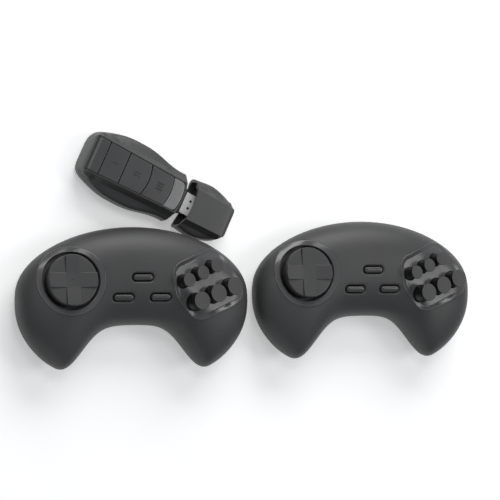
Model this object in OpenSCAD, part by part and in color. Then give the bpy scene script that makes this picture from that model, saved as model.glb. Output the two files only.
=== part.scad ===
// Stick game console with its pull-off cap, and its two wireless controllers, lying on a table.
// Frame: X to the right, Y away from the player, Z up. Origin: centre of the console's flat underside.

/* [Controller body] */
// Width across the two grips
pad_w = 150; // [142:1:158]
// Height of the edge line where the outline is widest, from the controller's centre
edge_y = 1.7; // [0:0.1:4]
// Rise of the outline above the edge line, at the middle
crown = 40.7; // [38:0.1:43]
// Drop of the outline below the edge line, at the middle
saddle = 18.7; // [17:0.1:21]
// Extra drop of each grip
grip_drop = 35; // [31:0.5:38]
// Distance of each grip from the middle
grip_x = 49.6; // [47:0.1:52]
// Width of the grip lobe on its inner side
grip_inner = 19.4; // [17:0.1:21]
// Width of the grip lobe on its outer side
grip_outer = 56; // [50:1:60]
// Half thickness of the body
pad_t = 20; // [19:0.1:22]
// How much thinner the body is in the middle
waist_t = 3.5; // [2.5:0.1:4]
// Depth of the flat underside below the parting line
foot_z = 15.2; // [15:0.1:16]
// Wall of the controller's shells
pad_wall = 2; // [1.6:0.1:2.4]

/* [Direction pad] */
// Centre of the direction pad, left of the middle
dpad_x = 45; // [44:0.5:47]
// Centre of the direction pad, above the middle
dpad_y = 10.5; // [8:0.5:12]
// Outward lean of the direction pad
dpad_out = 2; // [0:0.5:5]
// Backward lean of the direction pad
dpad_back = 8; // [6:0.5:9]
// Outer radius of its bezel ring
dpad_ring_r = 21.2; // [20.5:0.1:22]
// Radius of the hole in its bezel ring
dpad_hole_r = 17.5; // [17.2:0.1:18]
// Radius of its disc
dpad_r = 15.5; // [14.5:0.1:15.8]
// Width of the arms of its cross
dpad_arm = 9; // [8:0.1:10]
// Height of the cross above the disc
dpad_relief = 1.2; // [1:0.1:1.8]
// Radius of its pivot ball
pivot_r = 3; // [2.6:0.1:3.2]
// Tilt of the direction pad each way, in degrees
dpad_tilt = 5; // [3:1:5]

/* [Action buttons] */
// Centre of the button panel, right of the middle
action_x = 42.4; // [41:0.2:44]
// Centre of the button panel, above the middle
action_y = 8.4; // [7:0.2:10]
// Outward lean of the button panel
action_out = 7; // [4:0.5:8]
// Backward lean of the button panel
action_back = 7; // [5:0.5:9]
// Slant of the button rows
row_slant = 20; // [17:0.5:23]
// Further slant of the row of small buttons
small_slant = 3.5; // [0:0.5:5]
// Radius of the three large buttons
large_r = 5.5; // [4.9:0.1:5.6]
// Radius of the three small buttons
small_r = 4.2; // [4:0.1:4.6]
// Spacing of the large buttons
large_pitch = 12.8; // [12.4:0.1:13.2]
// Spacing of the small buttons
small_pitch = 10.9; // [10.4:0.1:11.4]
// Height of the buttons above the panel
button_h = 8; // [6:0.1:9]
// Travel of a button
button_travel = 1.5; // [1:0.1:1.6]

/* [Menu buttons] */
// Length of a menu button
menu_l = 12.6; // [11:0.1:13]
// Width of a menu button
menu_w = 3.6; // [3.2:0.1:4]
// Gap around a menu button
menu_gap = 0.9; // [0.6:0.1:1.2]
// Travel of a menu button
menu_travel = 0.8; // [0.5:0.1:1]

/* [Batteries] */
// Diameter of a battery cell
cell_d = 10.5; // [10:0.1:10.5]
// Length of a battery cell
cell_l = 44.5; // [43:0.1:44.5]
// Length of the battery door
door_l = 54; // [52:0.5:56]
// Width of the battery door, up to where the underside starts to rise
door_w = 25; // [24:0.5:26]
// Thickness of the battery door
door_t = 1.2; // [1:0.1:1.4]

/* [Console] */
// Length of the console with its cap closed
con_l = 95; // [92:1:98]
// Width of the console at its waist
con_waist = 31.6; // [30:0.2:33]
// Extra width of the console at its hips
con_hip = 9.4; // [8:0.2:10]
// Height of the console
con_h = 18.6; // [18:0.1:20]
// Length of the console's body, without its cap
body_l = 65.5; // [64:0.5:67]
// Wall of the console's shells
con_wall = 1.8; // [1.5:0.1:2]
// Radius of the curved joint between body and cap
joint_r = 45; // [40:1:55]
// Width of the key strip at the wide end
strip_w = 22.2; // [20:0.2:22.6]
// How much closer to the middle each side of the key strip runs at the tip
strip_taper = 2.4; // [0:0.1:3]
// Depth of the key strip's pocket
strip_d = 2; // [1.8:0.1:2.2]
// Travel of a console key
key_travel = 0.5; // [0.3:0.1:0.6]
// How far the cap is pulled off
cap_gap = 8; // [4:0.5:9]
// Width of the video plug's shell
plug_w = 13.9; // [13.9:0.1:14]
// Thickness of the video plug's shell
plug_t = 4.5; // [4.4:0.05:4.6]
// Length of the video plug's shell
plug_l = 12; // [11:0.1:12.5]

/* [Layout] */
// Turn of the console on the table, in degrees
con_turn = -25.4; // [-35:0.1:-15]
// Place of the left controller's middle, across the table
left_x = -1.4; // [-10:0.1:10]
// Distance from the console's middle to the back of the left controller
console_clear = 31.6; // [31:0.1:60]
// Gap between the two controllers
pad_gap = 6; // [3:1:60]
// How much further back the right controller lies
right_back = 4; // [0:1:10]

/* [Hidden] */
// Named clearances: between fixed pieces, around moving ones, and of a ball in its socket.
fit = 0.1;
slip = 0.25;
ball_fit = 0.05;
// Roundness of the body's sections, and how the thickness falls off towards its ends.
section_n = 2.2;
taper_n = 0.8;
stations = 40;
ring_points = 28;
inner_stations = 26;
inner_points = 20;
// Half height of the body at which its wall has its nominal thickness.
wall_ref = 30;
round_fn = 48;
big = 400;

// ---- Controller body: sections across X, each a rounded shape between two outline curves ----

// Upper and lower outline at station angle f, from -90 at the left end to 90 at the right end.
function outline_top(f) = edge_y + cos(f) * (crown + 0.8 * (cos(2 * f) - 1));
function grip_side(f) = abs(pad_w / 2 * sin(f)) - grip_x;
function grip_span(f) = grip_side(f) < 0 ? grip_inner : grip_outer;
function outline_low(f) =
    edge_y - cos(f) * saddle - grip_drop * sqrt(max(cos(f), 0)) * exp(-pow(grip_side(f) / grip_span(f), 2));
function thickness(f) = (pad_t - waist_t * cos(2 * f)) * pow(max(cos(f), 0), taper_n);
function spow(v, e) = sign(v) * pow(abs(v), e);
// A point of the body's surface, at station f and angle s around the section, d inside the outer skin.
function pad_point(f, s, d) =
    let (top = outline_top(f), low = outline_low(f), mid = (top + low) / 2)
    [
        (pad_w / 2 - d) * sin(f),
        mid + (top - low) / 2 * (1 - d / wall_ref) * spow(cos(s), 2 / section_n),
        thickness(f) * (1 - d / (pad_t - waist_t)) * spow(sin(s), 2 / section_n)
    ];
// Height of the outer skin above a point, for the middle stretch of the body.
function skin_z(x, y) =
    let (f = asin(2 * x / pad_w), top = outline_top(f), low = outline_low(f))
    thickness(f) * pow(1 - pow(abs((2 * y - top - low) / (top - low)), section_n), 1 / section_n);

module pad_body(d = 0, ns = stations, np = ring_points) {
    points = concat(
        [[-pad_w / 2 + d, edge_y, 0]],
        [for (i = [1:ns - 1]) for (k = [0:np - 1]) pad_point(-90 + 180 * i / ns, 360 * k / np, d)],
        [[pad_w / 2 - d, edge_y, 0]]
    );
    last = len(points) - 1;
    faces = concat(
        [for (k = [0:np - 1]) [0, 1 + k, 1 + (k + 1) % np]],
        [for (i = [0:ns - 3]) for (k = [0:np - 1])
            let (a = 1 + i * np + k, b = 1 + i * np + (k + 1) % np)
                each [[a, a + np, b], [b, a + np, b + np]]],
        [for (k = [0:np - 1]) let (base = 1 + (ns - 2) * np) [last, base + (k + 1) % np, base + k]]
    );
    polyhedron(points, faces, convexity = 6);
}

// Gives one mesh for a shape with a sculpted skin.
module sculpted() { resize([0, 0, 0]) children(); }
module above(z = 0) { translate([-big / 2, -big / 2, z]) cube(big); }
module below(z = 0) { translate([-big / 2, -big / 2, z - big]) cube(big); }

// ---- Frames of the tilted controls ----
module at_dpad() {
    translate([-dpad_x, dpad_y, skin_z(-dpad_x, dpad_y)]) rotate([-dpad_back, -dpad_out, 0]) children();
}
module at_action() {
    translate([action_x, action_y, skin_z(action_x, action_y)])
        rotate([-action_back, action_out, 0])
            rotate([0, 0, row_slant])
                children();
}
// Six buttons: three large in the lower row, three small in the upper row. Each is [along, across, radius].
row_low = -7.9;
row_high = 7.4;
large_shift = 1.7;
small_shift = -3.5;
buttons = concat(
    [for (i = [-1:1]) [large_shift + i * large_pitch, row_low, large_r]],
    [for (i = [-1:1]) [
        small_shift + i * small_pitch * cos(small_slant),
        row_high + i * small_pitch * sin(small_slant), small_r
    ]]
);
module at_button(b) { translate([b[0], b[1], 0]) children(); }

// ---- Depths along the tilted controls' own axes ----
panel_z = -1.8;
panel_t = 2;
collar_t = 1.1;
collar_w = 0.45;
stem_z = -7;
dome_gap = 0.15;
dome_h = 1.4;
sheet_t = 1;
board_t = 1.6;
action_dome_z = stem_z - button_travel - dome_gap;
action_sheet_z = action_dome_z - dome_h - sheet_t;
disc_top = 2;
disc_t = 4;
ring_lip_z = -5.6;
ring_base_z = -10.5;
skirt_w = 1;
flange_r = dpad_hole_r + 0.5;
flange_room = 0.5;
flange_t = 0.8;
// The flange stays under the lip even when the pad tilts both ways at once.
flange_z = ring_lip_z - flange_r * sin(sqrt(2) * dpad_tilt) - flange_t;
foot_r = 1.8;
foot_at = 9.5;
dpad_foot_z = -4.2;
dpad_dome_gap = 0.3;
dpad_dome_z = dpad_foot_z - (foot_at + foot_r) * sin(dpad_tilt) - dpad_dome_gap;
dpad_sheet_z = dpad_dome_z - dome_h - sheet_t;
dpad_board_r = dpad_r - 3;
pivot_z = dpad_sheet_z + pivot_r + ball_fit;

// Arcs of the button panel's outline: each is [its button, along, across, growth of its radius].
panel_arcs = [
    [3, 2.6, 2.6, 5], [3, 1.9, -5.8, 5.1], [0, 3.6, -2.4, 4.5], [2, 0.3, -1.8, 4.4], [5, 2.6, 0.9, 6.1]
];
module panel_outline(inset) {
    hull()
        for (a = panel_arcs)
            translate([buttons[a[0]][0] + a[1], buttons[a[0]][1] + a[2]])
                circle(buttons[a[0]][2] + a[3] - inset, $fn = 32);
}
rim_w = 2.6;
rim_wall = 1.2;
corner_skin = 0.3;
seat_depth = 8;

// ---- Menu buttons: one above, two below. Each is [x, y]. ----
menu_row = 12.1;
menu_high_y = 12.1;
menu_spots = [[0, menu_high_y], [-menu_row, 0], [menu_row, 0]];
menu_lean = 8;
module at_menu(i) {
    m = menu_spots[i];
    translate([m[0], m[1], skin_z(m[0], m[1])]) rotate([i == 0 ? 0 : menu_lean, 0, 0]) children();
}
module slot(l, w, h) {
    linear_extrude(h) {
        square([l - w, w], center = true);
        for (s = [-1, 1]) translate([s * (l - w) / 2, 0]) circle(w / 2, $fn = 24);
    }
}
menu_proud = 0.7;
menu_depth = 9;

// ---- Screw bosses ----
screw_spots = [[-20, 32], [20, 32], [-50, -24], [50, -24]];
boss_r = 3.2;
screw_r = 1.3;
head_r = 2.5;
head_h = 1.6;
screw_seat = 9.5;
screw_l = 15;

module boss_posts() {
    for (p = screw_spots) translate([p[0], p[1], -big / 2]) cylinder(r = boss_r, h = big, $fn = 20);
}

module top_shell() {
    color("#3a3a3c") sculpted() difference() {
        union() {
            difference() {
                intersection() { pad_body(); above(); }
                pad_body(pad_wall, inner_stations, inner_points);
            }
            intersection() { pad_body(pad_wall / 2, inner_stations, inner_points); above(); boss_posts(); }
        }
        for (p = screw_spots)
            translate([p[0], p[1], -fit])
                cylinder(r = screw_r + fit, h = screw_l - screw_seat + 1, $fn = 16);
        at_dpad() translate([0, 0, ring_base_z - 1])
            cylinder(r = dpad_ring_r + fit, h = big / 4, $fn = round_fn);
        at_action() translate([0, 0, -seat_depth]) linear_extrude(big / 4) panel_outline(-fit);
        for (i = [0:2])
            at_menu(i) translate([0, 0, -menu_depth])
                slot(menu_l + 2 * menu_gap, menu_w + 2 * menu_gap, big / 8);
    }
}

door_y = (outline_top(0) + outline_low(0)) / 2;
ledge = 1.4;
door_fit = 0.15;
door_tail = 6;
runner_w = 0.9;
runner_t = 0.7;
floor_t = 2.4;
// A flat block around the door's place, grown sideways and reaching back past its tail.
module door_block(grow, tail, z0, z1) {
    translate([-door_l / 2 - grow, door_y - door_w / 2 - grow, z0])
        cube([door_l + 2 * grow, door_w + tail + 2 * grow, z1 - z0]);
}
module door_runners(grow, tail) {
    z0 = -foot_z + door_t - runner_t;
    translate([-door_l / 2 - runner_w - grow, door_y - door_w / 2 + 1, z0 - grow])
        cube([door_l + 2 * (runner_w + grow), door_w + tail - 2, runner_t + grow]);
}

module bottom_shell() {
    color("#303032") sculpted() difference() {
        intersection() {
            union() {
                difference() {
                    pad_body();
                    intersection() {
                        pad_body(pad_wall, inner_stations, inner_points);
                        above(-foot_z + floor_t);
                    }
                }
                intersection() { pad_body(pad_wall / 2, inner_stations, inner_points); boss_posts(); }
            }
            below();
            above(-foot_z);
        }
        door_block(door_fit, big / 8, -foot_z - 1, -foot_z + door_t + ball_fit);
        door_runners(door_fit, big / 8);
        door_block(-ledge, 0, -foot_z - 1, 0);
        for (p = screw_spots) {
            translate([p[0], p[1], -big / 2]) cylinder(r = screw_r + fit, h = big, $fn = 16);
            translate([p[0], p[1], -screw_seat - big]) cylinder(r = head_r + slip, h = big, $fn = 24);
        }
    }
}

// The door slides back on two side runners; its tail follows the rise of the underside.
module battery_door() {
    color("#2c2c2e") sculpted() difference() {
        intersection() {
            pad_body();
            union() {
                door_block(0, door_tail, -foot_z, -foot_z + door_t);
                door_runners(0, door_tail);
            }
        }
        for (i = [0:3]) translate([-6, door_y + door_w / 2 - 3 - 2.2 * i, -foot_z - 0.5]) cube([12, 1, 0.9]);
    }
}

cell_z = -foot_z + floor_t + cell_d / 2 + 0.2;
cell_gap = 0.5;
nub_r = 1.9;
nub_h = 1;
module battery_cells() {
    for (s = [-1, 1]) translate([0, door_y + s * (cell_d + cell_gap) / 2, cell_z]) rotate([0, s * 90, 0]) {
        color("#c9a13b") translate([0, 0, -cell_l / 2])
            cylinder(d = cell_d, h = cell_l - nub_h, $fn = round_fn);
        color("silver") translate([0, 0, cell_l / 2 - nub_h]) cylinder(r = nub_r, h = nub_h, $fn = 24);
    }
}

contact_t = 0.4;
module battery_contacts() {
    color("silver") for (s = [-1, 1])
        translate([s * (cell_l / 2 + contact_t / 2 + fit), door_y, cell_z])
            cube([contact_t, 2 * cell_d - 1, cell_d - 2], center = true);
}

board_z = cell_z + cell_d / 2 + 0.4;
main_board = [46, 30];
main_board_y = door_y - 17;
action_board = [34, 24];
module circuit_boards() {
    chip = [11, 9, 1.2];
    switch = [6, 6, 2];
    color("#1f5b34") {
        translate([-main_board[0] / 2, main_board_y, board_z]) cube([main_board[0], main_board[1], board_t]);
        at_dpad() translate([0, 0, dpad_sheet_z - board_t])
            cylinder(r = dpad_board_r, h = board_t, $fn = round_fn);
        at_action() translate([0, 0, action_sheet_z - board_t])
            linear_extrude(board_t) square(action_board, center = true);
    }
    color("#222222") translate([-chip[0] / 2, door_y - 2, board_z + board_t]) cube(chip);
    color("silver") for (i = [0:2])
        translate([menu_spots[i][0] - switch[0] / 2, menu_spots[i][1] - switch[1] / 2, board_z + board_t])
            cube(switch);
}

// How far the ring and the panel's rim stand out of the case.
lip = 0.5;
module dpad_bezel() {
    color("#4a4a4c") sculpted() intersection() {
        pad_body(-lip);
        at_dpad() difference() {
            translate([0, 0, ring_base_z]) cylinder(r = dpad_ring_r, h = big / 8, $fn = round_fn);
            translate([0, 0, -big / 8]) cylinder(r = dpad_hole_r, h = big / 4, $fn = round_fn);
            translate([0, 0, ring_lip_z - big / 8])
                cylinder(r = flange_r + flange_room, h = big / 8, $fn = round_fn);
        }
    }
}

module cross(l, w, h) {
    linear_extrude(h) for (a = [0, 90]) rotate(a) square([l, w], center = true);
}
hub_r = 5;
dimple_r = 0.55;
module dpad() {
    color("#3b3b3d") at_dpad() difference() {
        union() {
            translate([0, 0, disc_top - disc_t]) cylinder(r = dpad_r, h = disc_t, $fn = round_fn);
            intersection() {
                cylinder(r = dpad_r, h = disc_top + dpad_relief, $fn = round_fn);
                cross(2 * dpad_r + 2, dpad_arm, disc_top + dpad_relief);
            }
            difference() {
                union() {
                    translate([0, 0, flange_z]) cylinder(r = flange_r, h = flange_t, $fn = round_fn);
                    translate([0, 0, flange_z])
                        cylinder(r = dpad_r - 0.5, h = disc_top - disc_t / 2 - flange_z, $fn = round_fn);
                }
                translate([0, 0, flange_z - 1])
                    cylinder(
                        r = dpad_r - 0.5 - skirt_w, h = disc_top - disc_t / 2 - flange_z + 1, $fn = round_fn
                    );
            }
            translate([0, 0, pivot_z + 0.4])
                cylinder(r = hub_r, h = disc_top - disc_t - pivot_z, $fn = round_fn);
            for (a = [0:90:270]) rotate(a) translate([foot_at, 0, dpad_foot_z])
                cylinder(r = foot_r, h = disc_top - disc_t / 2 - dpad_foot_z, $fn = 24);
        }
        translate([0, 0, pivot_z]) sphere(r = pivot_r + ball_fit, $fn = round_fn);
        translate([0, 0, disc_top + dpad_relief + dimple_r / 3]) sphere(r = dimple_r, $fn = 24);
    }
}
module dpad_pivot() {
    color("#d8d8d8") at_dpad() translate([0, 0, pivot_z]) sphere(r = pivot_r, $fn = round_fn);
}
module dome(z, r) { translate([0, 0, z]) cylinder(r1 = r, r2 = r - 0.8, h = dome_h, $fn = 24); }
module dpad_membrane() {
    color("#8f8f8f") at_dpad() {
        difference() {
            translate([0, 0, dpad_sheet_z]) cylinder(r = dpad_board_r, h = sheet_t, $fn = round_fn);
            translate([0, 0, dpad_sheet_z - 1]) cylinder(r = pivot_r + slip, h = 4, $fn = 24);
        }
        for (a = [0:90:270]) rotate(a) translate([foot_at, 0, 0]) dome(dpad_sheet_z + sheet_t, foot_r + 1);
    }
}

// The glossy panel: a raised rim that follows the body's skin, and a sunk floor with six button holes.
module action_bezel() {
    color("#5a5a5c") sculpted() difference() {
        intersection() {
            pad_body(-lip);
            at_action() difference() {
                translate([0, 0, 1 - seat_depth]) linear_extrude(4 * seat_depth) panel_outline(0);
                translate([0, 0, panel_z]) linear_extrude(big / 4) panel_outline(rim_w);
                for (b = buttons) at_button(b) translate([0, 0, -big / 8])
                    cylinder(r = b[2] + slip, h = big / 4, $fn = 32);
            }
        }
        // The hollow stays below the skin at the panel's low corners, so that they are closed.
        intersection() {
            pad_body(corner_skin, inner_stations, inner_points);
            at_action() translate([0, 0, panel_z - panel_t - seat_depth])
                linear_extrude(seat_depth) panel_outline(rim_wall);
        }
    }
}

edge_bevel = 0.5;
module action_button(i) {
    b = buttons[i];
    color("#333335") at_action() at_button(b) {
        translate([0, 0, stem_z])
            cylinder(r = b[2], h = panel_z + button_h - edge_bevel - stem_z, $fn = round_fn);
        translate([0, 0, panel_z + button_h - edge_bevel])
            cylinder(r1 = b[2], r2 = b[2] - edge_bevel, h = edge_bevel, $fn = round_fn);
        translate([0, 0, panel_z - panel_t - fit - collar_t])
            cylinder(r = b[2] + collar_w, h = collar_t, $fn = round_fn);
    }
}
action_sheet = [36, 25];
module action_membrane() {
    color("#8f8f8f") at_action() {
        translate([0, 0, action_sheet_z]) linear_extrude(sheet_t) square(action_sheet, center = true);
        for (b = buttons) at_button(b) dome(action_sheet_z + sheet_t, b[2] - 0.6);
    }
}

switch_top = board_z + board_t + 2;
module menu_button(i) {
    m = menu_spots[i];
    stem_w = 2.4;
    rise = skin_z(m[0], m[1]) - switch_top - menu_travel - fit;
    color("#39393b") at_menu(i) {
        translate([0, 0, -4]) slot(menu_l, menu_w, 4 + menu_proud);
        translate([0, 0, -rise]) slot(menu_l / 2, stem_w, rise - 2);
    }
}

module case_screws() {
    color("silver") for (p = screw_spots) translate([p[0], p[1], -screw_seat - head_h]) {
        cylinder(r = head_r, h = head_h, $fn = 24);
        cylinder(r = screw_r, h = screw_l - 1, $fn = 16);
    }
}

// ---- Console: sections across its length, between its wide end and its cap's tip ----
// t runs from -1 at the wide end to 1 at the tip.
hip_at = -3.5;
hip_spread = 21;
hip_n = 2.8;
flare_w = 1.6;
flare_at = 42;
flare_spread = 9;
end_n = 8;
wide_round = 8;
tip_round = 2.8;
top_n = 36;
top_round = 5;
crown_fall = 0.06;
con_stations = 36;
wide_angle = -80;
tip_angle = 85;
mid_x = con_l / 2 - body_l / 2;
function con_x(t) = mid_x + con_l / 2 * t;
function con_end(t) = pow(1 - pow(abs(t), end_n), 1 / (t < 0 ? wide_round : tip_round));
function con_bulge(x) =
    con_hip / 2 * exp(-pow(abs((x - hip_at) / hip_spread), hip_n))
    + flare_w * exp(-pow((x - flare_at) / flare_spread, 2));
function con_half(t) = (con_waist / 2 + con_bulge(con_x(t))) * con_end(t);
function con_top(t) = con_h * (1 - crown_fall * t * t) * pow(1 - pow(abs(t), top_n), 1 / top_round);
// Half section, bottom to top: flat underside, belly, shoulder, rail and key strip.
belly_z = 7.5;
rail_w = 3.6;
rail_drop = 3;
rail_edge = 0.6;
// Half width of the key strip at a place along the console.
function strip_half(x) = strip_w / 2 - strip_taper * (x + body_l / 2) / con_l;
// Points of half a section: w and h are its half width and height, s the strip's half width there.
function con_half_section(w, h, s, side, top) = let (k = h / con_h) [
    [w * 0.62, side * 0.9],
    [w * 0.86 - side, 1.6 * k + side * 0.5],
    [w * 0.97 - side, 4.4 * k],
    [w - side, belly_z * k],
    [w * 0.985 - side, 10.6 * k],
    [w * 0.94 - side, min(13.6 * k, h - rail_drop * k - top - 0.2)],
    [min(s + rail_w, w * 0.93) - side, h - rail_drop * k - top],
    [min(s + rail_edge, w * 0.88) - side / 2, h - top]
];
function con_ring(t, side, top) =
    let (half = con_half_section(con_half(t), con_top(t), strip_half(con_x(t)), side, top), n = len(half))
    concat(
        [for (p = half) [con_x(t), p[0], p[1]]],
        [for (i = [n - 1:-1:0]) [con_x(t), -half[i][0], half[i][1]]]
    );
function con_t(i) = sin(wide_angle + (tip_angle - wide_angle) * i / con_stations);

module con_form(side = 0, top = 0) {
    rings = [for (i = [0:con_stations]) con_ring(con_t(i) * (1 - side / (con_l / 2)), side, top)];
    n = len(rings[0]);
    points = [for (r = rings) each r];
    faces = concat(
        [[for (k = [0:n - 1]) k]],
        [for (i = [0:con_stations - 1]) for (k = [0:n - 1])
            let (a = i * n + k, b = i * n + (k + 1) % n) each [[a, a + n, b], [b, a + n, b + n]]],
        [[for (k = [n - 1:-1:0]) con_stations * n + k]]
    );
    polyhedron(points, faces, convexity = 6);
}

body_end = body_l / 2 + 0.8;
module joint_drum(grow = 0) {
    translate([body_end - joint_r, 0, -big / 4]) cylinder(r = joint_r + grow, h = big / 2, $fn = 96);
    translate([body_end - joint_r - big / 2, -big / 4, -big / 4]) cube([big / 2, big / 2, big / 2]);
}
roof_t = 1.8;
strip_x0 = -body_l / 2 + 1.6;
strip_x1 = body_end - 3.2;
// Boundaries of the pieces in the key strip, at the strip's sides, and how far each bulges to the tip.
strip_cuts = [strip_x0, -23, -8.9, 6.2, 22.2, strip_x1];
strip_bulge = [0, 0, 0, 2.3, 2.3, 2.3];
strip_gap = 0.5;

// An area of the key strip's plan, up to boundary i.
module strip_upto(i, shift = 0) {
    x = strip_cuts[i] + shift;
    b = strip_bulge[i];
    translate([x - big / 2, -big / 4]) square([big / 2, big / 2]);
    if (b > 0) {
        r = (pow(strip_w / 2, 2) + b * b) / (2 * b);
        translate([x + b - r, 0]) circle(r, $fn = round_fn);
    }
}
// The area between the strip's two sides, which converge towards the tip.
module strip_sides(inset = 0) {
    polygon([
        for (p = [[-con_l, 1], [con_l, 1], [con_l, -1], [-con_l, -1]])
            [p[0], p[1] * (strip_half(p[0]) - inset)]
    ]);
}
module strip_plan(i) {
    intersection() {
        strip_sides(strip_gap / 2);
        difference() {
            strip_upto(i + 1, -strip_gap / 2);
            strip_upto(i, strip_gap / 2);
        }
    }
}
mat_t = 0.4;
// The slab of the key strip's layer between two depths below the console's top.
module strip_layer(i, d0, d1) {
    sculpted() difference() {
        intersection() {
            con_form(0, d0);
            translate([0, 0, belly_z]) linear_extrude(con_h) strip_plan(i);
        }
        con_form(0, d1);
    }
}

port = [8, 7, 3.2];
port_at = [20, 5.2];
module port_cut(grow = 0) {
    translate([port_at[0] - port[0] / 2 - grow, 0, port_at[1] - grow])
        cube([port[0] + 2 * grow, big / 8, port[2] + 2 * grow]);
}
con_screw_spots = [[-21, 10], [-21, -10], [12, 10], [12, -10]];
con_boss_r = 2.4;
con_screw_r = 0.9;
con_head_r = 1.7;
con_seat = 2.2;

module con_posts() {
    for (p = con_screw_spots) translate([p[0], p[1], -big / 4])
        cylinder(r = con_boss_r, h = big / 2, $fn = 16);
}
module strip_pocket() {
    intersection() {
        strip_sides();
        translate([strip_cuts[0], -strip_w]) square([big / 2, 2 * strip_w]);
        strip_upto(5);
    }
}
module con_inner() { con_form(con_wall, roof_t + strip_d); }

module console_top() {
    color("#4c4c4e") sculpted() difference() {
        intersection() {
            union() {
                difference() {
                    con_form();
                    intersection() { con_inner(); above(con_wall); }
                }
                intersection() { con_form(con_wall / 2, strip_d); con_posts(); }
            }
            joint_drum();
            above(belly_z);
        }
        difference() {
            translate([0, 0, belly_z]) linear_extrude(con_h) strip_pocket();
            con_form(0, strip_d);
        }
        for (p = con_screw_spots) translate([p[0], p[1], 0])
            cylinder(r = con_screw_r + fit, h = 12, $fn = 12);
        port_cut(slip);
    }
}
module console_bottom() {
    color("#3f3f41") sculpted() difference() {
        intersection() {
            union() {
                difference() {
                    con_form();
                    intersection() { con_inner(); above(con_wall); }
                }
                intersection() { con_form(con_wall / 2, strip_d); con_posts(); }
            }
            joint_drum();
            below(belly_z);
        }
        for (p = con_screw_spots) {
            translate([p[0], p[1], -1]) cylinder(r = con_screw_r + fit, h = big / 8, $fn = 12);
            translate([p[0], p[1], -1]) cylinder(r = con_head_r + fit, h = 1 + con_seat, $fn = 16);
        }
        port_cut(slip);
    }
}
module console_screws() {
    color("silver") for (p = con_screw_spots) translate([p[0], p[1], con_seat - 1.2]) {
        cylinder(r = con_head_r, h = 1.2, $fn = 16);
        cylinder(r = con_screw_r, h = 10, $fn = 16);
    }
}
module key_mat() { color("#777777") for (i = [1:3]) strip_layer(i, strip_d - mat_t, strip_d); }
// Strip piece 0 is the fixed badge panel, 1 to 3 are the keys and 4 is the window.
module badge_panel() { color("#404042") strip_layer(0, 0, strip_d); }
module key(i) { color("#5c5c5e") strip_layer(i, 0, strip_d - mat_t - key_travel - ball_fit); }
module signal_window() { color([0.55, 0.58, 0.57]) strip_layer(4, 0, strip_d); }

con_board_z = 6.2;
con_board_t = 1.2;
mold_w = 16.4;
mold_t = 8;
mold_drop = 1.6;
mold_z = con_board_z - mold_drop;
mold_x0 = body_end - 8;
mold_x1 = body_end + 3.2;
plug_z = mold_z + mold_t / 2;
plug_wall = 0.4;
plug_seat = 4;
tongue_w = 10;
tongue_t = 1.2;
tongue_back = 1.5;
module console_board() {
    back = -27;
    half = 7;
    chip = 10;
    front = con_half((port_at[0] - mid_x) * 2 / con_l) - con_wall + 0.3;
    color("#1f5b34") {
        translate([back, -half, con_board_z]) cube([mold_x0 - fit - back, 2 * half, con_board_t]);
        translate([port_at[0] - port[0] / 2, 0, con_board_z]) cube([port[0], front - 2, con_board_t]);
    }
    color("#222222") translate([-chip, -chip / 2, con_board_z + con_board_t]) cube([chip, chip, con_board_t]);
    color("silver") translate([port_at[0] - port[0] / 2, front - port[1], port_at[1]])
        difference() {
            cube(port);
            translate([0.5, 2, 0.5]) cube([port[0] - 1, port[1], port[2] - 1]);
        }
}
module plug_mold() {
    color("#2a2a2c") difference() {
        translate([mold_x0, -mold_w / 2, mold_z]) cube([mold_x1 - mold_x0, mold_w, mold_t]);
        translate([mold_x1 - plug_seat, 0, plug_z]) rotate([0, 90, 0]) plug_block(0, plug_seat + 1);
    }
}
// The plug's outline: a flat-topped shape with its two lower corners cut.
module plug_outline(inset) {
    w = plug_w / 2 - inset;
    t = plug_t / 2 - inset;
    cut = 1.6;
    polygon([[-t, -w], [-t, w], [t - cut, w], [t, w - cut], [t, -w + cut], [t - cut, -w]]);
}
module plug_block(inset, l) { linear_extrude(l) plug_outline(inset); }
dent_r = 0.75;
dent_gap = 4.6;
module plug_shell() {
    color("#e8dfc0") translate([mold_x1 - plug_seat, 0, plug_z]) rotate([0, 90, 0]) difference() {
        plug_block(ball_fit, plug_l + plug_seat);
        translate([0, 0, 1]) plug_block(plug_wall, plug_l + plug_seat);
        for (s = [-1, 1]) translate([-plug_t, s * dent_gap / 2, plug_l / 2 + plug_seat - 1])
            rotate([0, 90, 0]) cylinder(r = dent_r, h = plug_t, $fn = 24);
    }
}
module plug_tongue() {
    color("#202020") translate([mold_x1 + 1 + fit - plug_seat, -tongue_w / 2, plug_z - tongue_t / 2])
        cube([plug_l + plug_seat - 1 - fit - tongue_back, tongue_w, tongue_t]);
}

// ---- Cap: the rest of the console's form past the curved joint, drawn pulled off by cap_gap ----
liner_wall = 1.2;
liner_l = plug_l + 2.5;
cap_floor = mold_x1 + 0.3;
module cap_liner_block(grow, lead = 0) {
    translate([cap_floor - lead, -plug_w / 2 - liner_wall - grow, plug_z - plug_t / 2 - liner_wall - grow])
        cube([liner_l + lead + grow, plug_w + 2 * (liner_wall + grow), plug_t + 2 * (liner_wall + grow)]);
}
module cap_shell() {
    color("#4a4a4c") translate([cap_gap, 0, 0]) sculpted() difference() {
        con_form();
        joint_drum(slip);
        intersection() {
            con_form(con_wall, con_wall);
            above(con_wall);
            translate([cap_floor - fit - big / 2, -big / 2, -big / 2]) cube([big / 2, big, big]);
        }
        cap_liner_block(fit, 1);
    }
}
module cap_liner() {
    color("#1c1c1e") translate([cap_gap, 0, 0]) difference() {
        cap_liner_block(0);
        translate([cap_floor - 1, -plug_w / 2 - slip, plug_z - plug_t / 2 - slip])
            cube([liner_l - liner_wall + 1, plug_w + 2 * slip, plug_t + 2 * slip]);
    }
}

// ---- Whole set ----
module place(at) { translate([at[0], at[1], foot_z]) children(); }
module on_console() { rotate([0, 0, con_turn]) children(); }

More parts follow.
